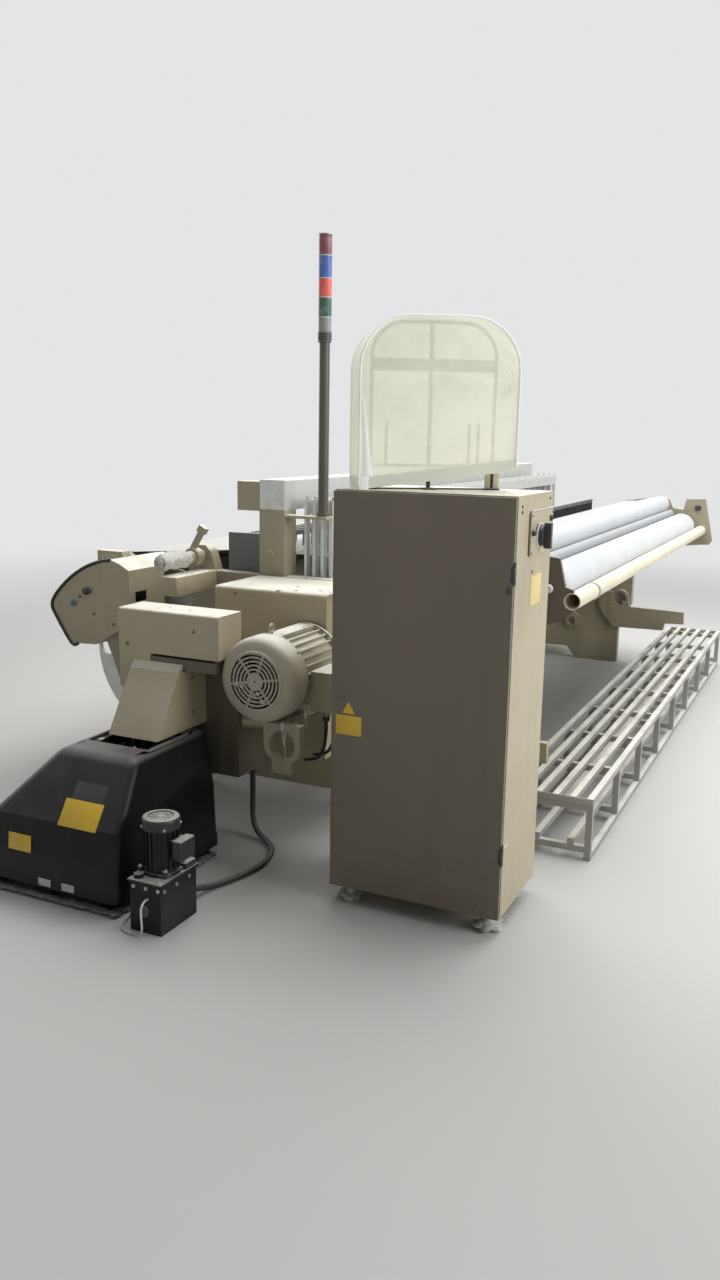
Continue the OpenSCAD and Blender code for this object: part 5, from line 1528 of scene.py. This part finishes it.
HEALD_MIDS = (-50, -10, 30, 70)
SHED_FRONT, SHED_BACK = -342.5, 201
HEDDLE_FIRST = 120.3
HEDDLE_GAP = 3369.4 / 47


def beside_heddle(x, half):
    """The edges of a ribbon of yarn, drawn in where a modelled heddle would stand in it."""
    heddle = HEDDLE_FIRST + round((x - HEDDLE_FIRST) / HEDDLE_GAP) * HEDDLE_GAP
    left, right = x - half, x + half
    if left < heddle + 2.4 and right > heddle - 2.4:
        if x > heddle:
            left = max(left, heddle + 2.4)
        else:
            right = min(right, heddle - 2.4)
    return left, right


class LOOM_OT_yarn(LoomOperator, bpy.types.Operator):
    """Draws the warp sheet, the shed and the extra heddles and winds the beam"""

    bl_idname = "loom.yarn"
    bl_label = "Warp yarn"

    def build(self):
        path = warp_path()
        bm = bmesh.new()
        add_web(bm, path, 140, 3470, 90, ripple=1.2)
        bmesh.ops.recalc_face_normals(bm, faces=bm.faces)
        bmesh.ops.solidify(bm, geom=bm.faces[:], thickness=0.0008)
        sheet = make_piece("warp_run", bm, "warp", replaced=["warp_sheet"], crease=50)
        path_length(path)
        self.shed()
        self.heddles()
        self.reed()
        self.wound()

    def shed(self):
        """Ribbons of yarn between the loom and the heald frame that lifts them."""
        pitch = sizes().yarn_pitch / MM
        count = int((3470 - 140) / pitch)
        for index, mid in enumerate(HEALD_MIDS):
            for side, end in (("front", SHED_FRONT), ("back", SHED_BACK)):
                bm = bmesh.new()
                for i in range(index, count, 4):
                    left, right = beside_heddle(140 + pitch * (i + 0.5), pitch * 0.36)
                    y0, y1 = min(end, mid), max(end, mid)
                    part = bmesh.new()
                    add_box(part, spot(left, y0, WARP_LINE - 0.35), spot(right, y1, WARP_LINE + 0.35))
                    long = [e for e in part.edges if abs(e.verts[0].co.y - e.verts[1].co.y) > 0.01]
                    bmesh.ops.subdivide_edges(part, edges=long, cuts=7, use_grid_fill=True)
                    add_mesh(bm, part)
                name = f"shed_{side}_{index + 1}"
                mesh = bpy.data.meshes.new(name)
                bm.to_mesh(mesh)
                bm.free()
                mesh.materials.append(finish("warp"))
                made = bpy.data.objects.new(name, mesh)
                bpy.context.scene.collection.objects.link(made)
                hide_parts("warp_shed")
                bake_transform(made)

    def heddles(self):
        """Rows of thin heddles between the modelled ones."""
        pitch = sizes().heddle_pitch
        count = int(3.33 / pitch)
        for index, mid in enumerate(HEALD_MIDS):
            bm = bmesh.new()
            for z0, z1 in ((879, 1057), (1063, 1255)):
                add_box(bm, spot(139.4, mid - 2, z0), spot(140.6, mid + 2, z1))
            made = make_piece(f"heddle_row_{index + 1}", bm, "steel", f"heald_{'abcd'[index]}")
            add_modifier(
                made, "ARRAY", count=count, use_relative_offset=False, use_constant_offset=True,
                constant_offset_displace=(pitch, 0, 0),
            )

    def reed(self):
        """Two baulks and the fine dents, which stand in the gaps between the ribbons of yarn."""
        bm = bmesh.new()
        for z0, z1 in ((975, 1014), (1128, 1150)):
            add_box(bm, spot(132, -341.9, z0), spot(3478, -328.1, z1), 0.0008)
        for x in (132, 3469.2):
            add_box(bm, spot(x, -341, 1013), spot(x + 8.8, -329, 1129))
        pitch = sizes().yarn_pitch / MM
        for i in range(1, int(3330 / pitch)):
            x = 140 + pitch * i
            add_box(bm, spot(x - 0.9, -340.5, 1013), spot(x + 0.9, -329.5, 1129))
        make_piece("reed_dents", bm, "reed_metal", "sley_reed", ["reed"])

    def wound(self):
        """The warp wound on its beam, with slightly uneven layers."""
        low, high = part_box("warp_yarn")
        bm = bmesh.new()
        rng = random.Random(sizes().seed + 1)
        long = (high.x - low.x) / MM
        profile = [(90.5, 0.2), (299, 0.2)]
        profile += [(299.8 + rng.uniform(-0.7, 0), 1 + (long - 2) * i / 60) for i in range(61)]
        profile += [(299, long - 0.2), (90.5, long - 0.2)]
        at = Vector((low.x, WARP_BEAM.x * MM, WARP_BEAM.y * MM))
        add_turned(bm, [(r * MM, h * MM) for r, h in profile], at, (1, 0, 0), 96, closed=True)
        make_piece("wound_warp", bm, "warp", "beam", ["warp_yarn"], crease=45)


# Lint


def add_tuft(bm, at, size, flat, rng, lumps=0.75):
    """A ball of fluff, with a lumpy outline."""
    made = bmesh.ops.create_icosphere(bm, subdivisions=2, radius=size)["verts"]
    shift = Vector((rng.uniform(0, 50), rng.uniform(0, 50), 0))
    long = rng.uniform(0.7, 1.7)
    turn = Matrix.Rotation(rng.uniform(0, math.pi), 3, "Z")
    for v in made:
        lump = 1 + lumps * noise.noise(v.co / size * 1.7 + shift)
        v.co = turn @ Vector((v.co.x * lump * long, v.co.y * lump, v.co.z * lump * flat)) + at


def add_sleeve(bm, start, end, radius, rough, seed, sides=20):
    """Fluff that has gathered round a rod along X."""
    start, end = Vector(start), Vector(end)
    rings = max(8, int((end - start).length / 0.012))

    def shape(u, v):
        turn = math.tau * (v % 1.0)
        ends = min(1.0, 14 * u, 14 * (1 - u)) if 0 < u < 1 else 0.15
        lump = noise.noise((u * (end - start).length * 22, math.cos(turn) * 1.6, math.sin(turn) * 1.6 + seed))
        r = (radius + rough * lump) * ends
        return start.lerp(end, u) + Vector((0, math.cos(turn) * r, math.sin(turn) * r))

    part = bmesh.new()
    add_grid(part, rings, sides, shape, lambda u, v: (u, v))
    bmesh.ops.remove_doubles(part, verts=part.verts, dist=1e-6)
    bmesh.ops.holes_fill(part, edges=part.edges, sides=sides)
    bmesh.ops.recalc_face_normals(part, faces=part.faces)
    add_mesh(bm, part)


# Upward faces where lint settles, as (x0, x1, y0, y1, z) in millimetres, with the share of tufts on them
LINT_BEDS = [
    ((-744, -602, 0, 390, 935), 0.5), ((-345, -10, -225, 235, 978), 0.6), ((-600, -360, 20, 390, 772), 1.6),
    ((-345, 0, 265, 395, 772), 2.0), ((5, 95, 145, 250, 1380), 0.8), ((-805, -420, -1095, -515, 1402), 0.25),
    ((-1080, -670, 95, 400, 495), 0.3), ((-1215, -660, 75, 110, 30), 2.0), ((-1285, -1090, -150, -30, 175.5), 2.5),
    ((0, 60, -600, 440, 980), 2.5), ((3550, 3610, -600, 440, 980), 2.0), ((60, 3550, 40, 120, 400), 1.0),
    ((60, 3550, 320, 400, 400), 1.0), ((-298, -4, 474, 558, 984), 4.0), ((2, 58, 440, 700, 980), 3.0), ((-640, -360, -200, -140, 866), 3.0), ((100, 3500, -600, -590, 1147), 1.0),
]


class LOOM_OT_lint(LoomOperator, bpy.types.Operator):
    """Scatters the fibre fluff that has settled on the loom and hangs from it"""

    bl_idname = "loom.lint"
    bl_label = "Lint"

    def build(self):
        rng = random.Random(sizes().seed + 2)
        bm = bmesh.new()
        for (x0, x1, y0, y1, z), share in LINT_BEDS:
            area = (x1 - x0) * (y1 - y0) * MM * MM
            for _ in range(round(area * share * sizes().tufts)):
                at = spot(rng.uniform(x0, x1), rng.uniform(y0, y1), z + 1)
                add_tuft(bm, at, rng.uniform(0.003, 0.009), rng.uniform(0.15, 0.35), rng)
        for y, z in ((-172, 672), (-160, 668), (-185, 680), (-205, 652), (-196, 660), (-118, 700), (-97, 704)):
            add_tuft(bm, spot(-749, y, z), rng.uniform(0.005, 0.008), 0.9, rng)
        make_piece("lint_tufts", bm, "lint", crease=180)
        bm = bmesh.new()
        for i in range(110):
            size = rng.uniform(0.009, 0.017)
            at = spot(-1235 + 5.2 * i, rng.uniform(60, 74), size * 700)
            add_tuft(bm, at, size, rng.uniform(0.35, 0.5), rng, 0.4)
        for i in range(110):
            size = rng.uniform(0.009, 0.017)
            at = spot(rng.uniform(-1246, -1234), 66 + 5.2 * i, size * 700)
            add_tuft(bm, at, size, rng.uniform(0.35, 0.5), rng, 0.4)
        make_piece("lint_at_floor", bm, "floor_lint", crease=180)
        self.strands(rng)
        self.sleeves()
        self.heaps(rng)

    def strands(self, rng):
        """Wisps of fluff that hang from the motor and its bracket."""
        bm = bmesh.new()
        for x, y, top, low in (
            (-702, -262, 566, 430), (-700, -255, 566, 500), (-640, -320, 600, 545), (-600, -250, 560, 500),
        ):
            long = top - low
            count = int(long / 7)
            for i in range(count):
                share = i / count
                thick = (0.0042 - 0.0026 * share) * rng.uniform(0.7, 1.3)
                at = spot(x + 7 * math.sin(3.1 * share), y + 9 * math.sin(2.3 * share + x), top - long * share)
                add_tuft(bm, at, thick, 2.6, rng)
        make_piece("lint_strands", bm, "lint", crease=180)

    def heaps(self, rng):
        """Fluff that has drifted against the cabinet's front feet."""
        bm = bmesh.new()
        for y in (-1054, -554):
            for i in range(9):
                way, out = i * 2.4, 6 + 3.2 * i
                size = rng.uniform(0.030, 0.036) - 0.0022 * i
                at = spot(-742.7 + out * math.cos(way), y + out * math.sin(way), size * 420)
                add_tuft(bm, at, size, 0.42, rng, 0.8)
        make_piece("lint_at_feet", bm, "lint", crease=180)

    def sleeves(self):
        """Fluff round the easing shaft and the backrest roller."""
        bm = bmesh.new()
        add_sleeve(bm, spot(-312, 555, 1040), spot(-88, 555, 1040), 0.034, 0.010, 1.0)
        make_piece("lint_easing_shaft", bm, "lint", "stop_arm", crease=180)
        bm = bmesh.new()
        add_sleeve(bm, spot(84, 1055, 960), spot(160, 1055, 960), 0.055, 0.006, 2.0, 28)
        add_sleeve(bm, spot(3462, 1055, 960), spot(3526, 1055, 960), 0.055, 0.006, 3.0, 28)
        make_piece("lint_backrest", bm, "lint", "backrest", crease=180)


# End frames and step


class LOOM_OT_end_frames(LoomOperator, bpy.types.Operator):
    """Adds bearing caps, knobs, bolts and plates to the side frames, the brackets and the step"""

    bl_idname = "loom.end_frames"
    bl_label = "Frame fittings"

    def build(self):
        bm = bmesh.new()
        cap = [(0, 9), (9, 9), (12, 7.5), (19, 7), (24, 5), (25, 3), (31, 3), (32, 0), (0, 0)]
        for x, away in ((-0.2, -1), (3610.2, 1)):
            for y, z in ((1055, 960), (825, 560)):
                add_turned(bm, [(r * 1.7 * MM, h * MM) for r, h in cap], spot(x, y, z), (away, 0, 0), 40)
        make_piece("bearing_caps", bm, "beige_frame", tidy=True)
        bm = bmesh.new()
        for x, away in ((-0.2, -1), (3610.2, 1)):
            for y, z in ((1055, 960), (825, 560)):
                for turn in range(45, 360, 90):
                    out = Vector((0, math.cos(math.radians(turn)), math.sin(math.radians(turn))))
                    add_bolt(bm, spot(x, y, z) + out * 0.0475 + Vector((away * 0.0045, 0, 0)), (away, 0, 0), 0.005)
        for x, away in ((60, 1), (3550, -1)):
            for y, z in ((-520, 900), (-520, 800), (-585, 860), (-300, 420), (-590, 440)):
                add_bolt(bm, spot(x + away * 30, y, z), (away, 0, 0), 0.009)
        make_piece("frame_bolts", bm, "steel")
        bm = bmesh.new()
        knob = [(0, 0), (6, 0), (6, 12), (14, 14), (17, 18), (17, 30), (14, 34), (0, 35)]
        add_turned(bm, [(r * MM, h * MM) for r, h in knob], spot(59.7, -985, 1012), (-1, 0, 0), 28)
        make_piece("near_clamp_knob", bm, "white_cable", tidy=True)
        bm = bmesh.new()
        add_turned(bm, [(r * 1.2 * MM, h * MM) for r, h in knob], spot(3549.7, -1045, 1117), (-1, 0, 0), 28)
        add_turned(bm, [(r * 1.2 * MM, h * MM) for r, h in knob], spot(3549.7, -828, 900), (-1, 0, 0), 28)
        make_piece("far_clamp_knobs", bm, "plastic", tidy=True)
        self.step()

    def step(self):
        """Strips that close the ends of the step's slats, and the long rails at its posts' feet."""
        bm = bmesh.new()
        low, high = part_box("weaver_step")
        tube = 0.025
        for x0, x1 in ((low.x - 0.0025, low.x + 0.0005), (high.x - 0.0005, high.x + 0.0025)):
            add_box(bm, (x0, low.y, high.z - tube - 0.001), (x1, high.y, high.z - 0.0003), 0.0008)
        for y in (low.y, high.y - tube):
            add_box(bm, (low.x + 0.001, y + 0.0005, 0.001), (high.x - 0.001, y + tube - 0.0005, tube), 0.002)
        make_piece("step_rails", bm, "step_paint")


# Stage

FLOOR_SIDE = 60.0
BACKDROP = (0.97, 0.975, 0.985, 1)
BACKDROP_LEVEL = 0.80


class LOOM_OT_stage(LoomOperator, bpy.types.Operator):
    """Lays the pale floor and sets the soft studio light"""

    bl_idname = "loom.stage"
    bl_label = "Floor and light"

    def build(self):
        bm = bmesh.new()
        bmesh.ops.create_grid(bm, x_segments=1, y_segments=1, size=FLOOR_SIDE)
        bmesh.ops.translate(bm, vec=(0, 0, -0.0004), verts=bm.verts)
        mesh = bpy.data.meshes.new("floor")
        bm.to_mesh(mesh)
        bm.free()
        made, t, shader = new_finish("pale_floor", Roughness=1.0, Specular_IOR_Level=0.0)
        reach = t.add("ShaderNodeVectorMath", {0: t.place()}, out=1, operation="LENGTH")
        far = t.step(reach, 3.0, 9.5)
        t.tree.links.new(t.mix(far, (0.57, 0.565, 0.55, 1), (0, 0, 0, 1)), shader.inputs["Base Color"])
        shader.inputs["Emission Color"].default_value = BACKDROP
        t.tree.links.new(t.maths("MULTIPLY", far, BACKDROP_LEVEL), shader.inputs["Emission Strength"])
        mesh.materials.append(made)
        floor = bpy.data.objects.new("floor", mesh)
        bpy.context.scene.collection.objects.link(floor)
        self.light("ceiling", (1.3, -0.7, 5.4), (1.0, -0.4, 0.0), 6.5, 6.0, 520)
        self.light("aisle", (-1.0, -7.5, 3.2), (0.0, -0.6, 0.8), 6.0, 3.0, 310)
        self.light("back", (2.5, 8.0, 3.4), (0.5, 0.6, 0.8), 5.0, 3.0, 130)
        world = bpy.data.worlds.new("room")
        bpy.context.scene.world = world
        world.use_nodes = True
        t = Tree(world.node_tree)
        ground = t.tree.nodes["Background"]
        ground.inputs["Color"].default_value = BACKDROP
        path = t.tree.nodes.new("ShaderNodeLightPath").outputs
        seen = t.maths("MAXIMUM", path["Is Camera Ray"], path["Is Glossy Ray"])
        seen = t.maths("MAXIMUM", seen, path["Is Transmission Ray"])
        t.tree.links.new(t.step(seen, 0.0, 1.0, 0.15, BACKDROP_LEVEL), ground.inputs["Strength"])
        bpy.context.scene.view_settings.view_transform = "Standard"

    def light(self, name, at, aim, width, depth, power):
        data = bpy.data.lights.new(name, "AREA")
        data.shape = "RECTANGLE"
        data.size = width
        data.size_y = depth
        data.energy = power
        made = bpy.data.objects.new(name, data)
        way = Vector(aim) - Vector(at)
        made.matrix_world = Matrix.Translation(at) @ way.to_track_quat("-Z", "Y").to_matrix().to_4x4()
        bpy.context.scene.collection.objects.link(made)


OPERATORS = [
    LOOM_OT_camera, LOOM_OT_cords, LOOM_OT_casings, LOOM_OT_hood, LOOM_OT_cam_cover, LOOM_OT_motor,
    LOOM_OT_covers, LOOM_OT_pump, LOOM_OT_cabinet, LOOM_OT_tower, LOOM_OT_cloth, LOOM_OT_yarn,
    LOOM_OT_end_frames, LOOM_OT_lint, LOOM_OT_stage,
]


class LOOM_PT_panel(bpy.types.Panel):
    """Lists the loom's operators, sizes and colours in the sidebar"""

    bl_idname = "LOOM_PT_panel"
    bl_label = "Power loom"
    bl_space_type = "VIEW_3D"
    bl_region_type = "UI"
    bl_category = "Power loom"

    def draw(self, context):
        for operator in OPERATORS:
            self.layout.operator(operator.bl_idname)
        for group in (context.scene.loom_sizes, context.scene.loom_colours):
            for name in group.bl_rna.properties.keys():
                if name not in {"rna_type", "name"}:
                    self.layout.prop(group, name)


CLASSES = [LoomColours, LoomSizes, *OPERATORS, LOOM_PT_panel]


def register():
    for made in CLASSES:
        bpy.utils.register_class(made)
    bpy.types.Scene.loom_colours = bpy.props.PointerProperty(type=LoomColours)
    bpy.types.Scene.loom_sizes = bpy.props.PointerProperty(type=LoomSizes)


def unregister():
    del bpy.types.Scene.loom_sizes
    del bpy.types.Scene.loom_colours
    for made in reversed(CLASSES):
        bpy.utils.unregister_class(made)


def main():
    register()
    for operator in OPERATORS:
        getattr(bpy.ops.loom, operator.bl_idname.partition(".")[2])()
    bpy.context.view_layer.update()


if __name__ == "__main__":
    main()
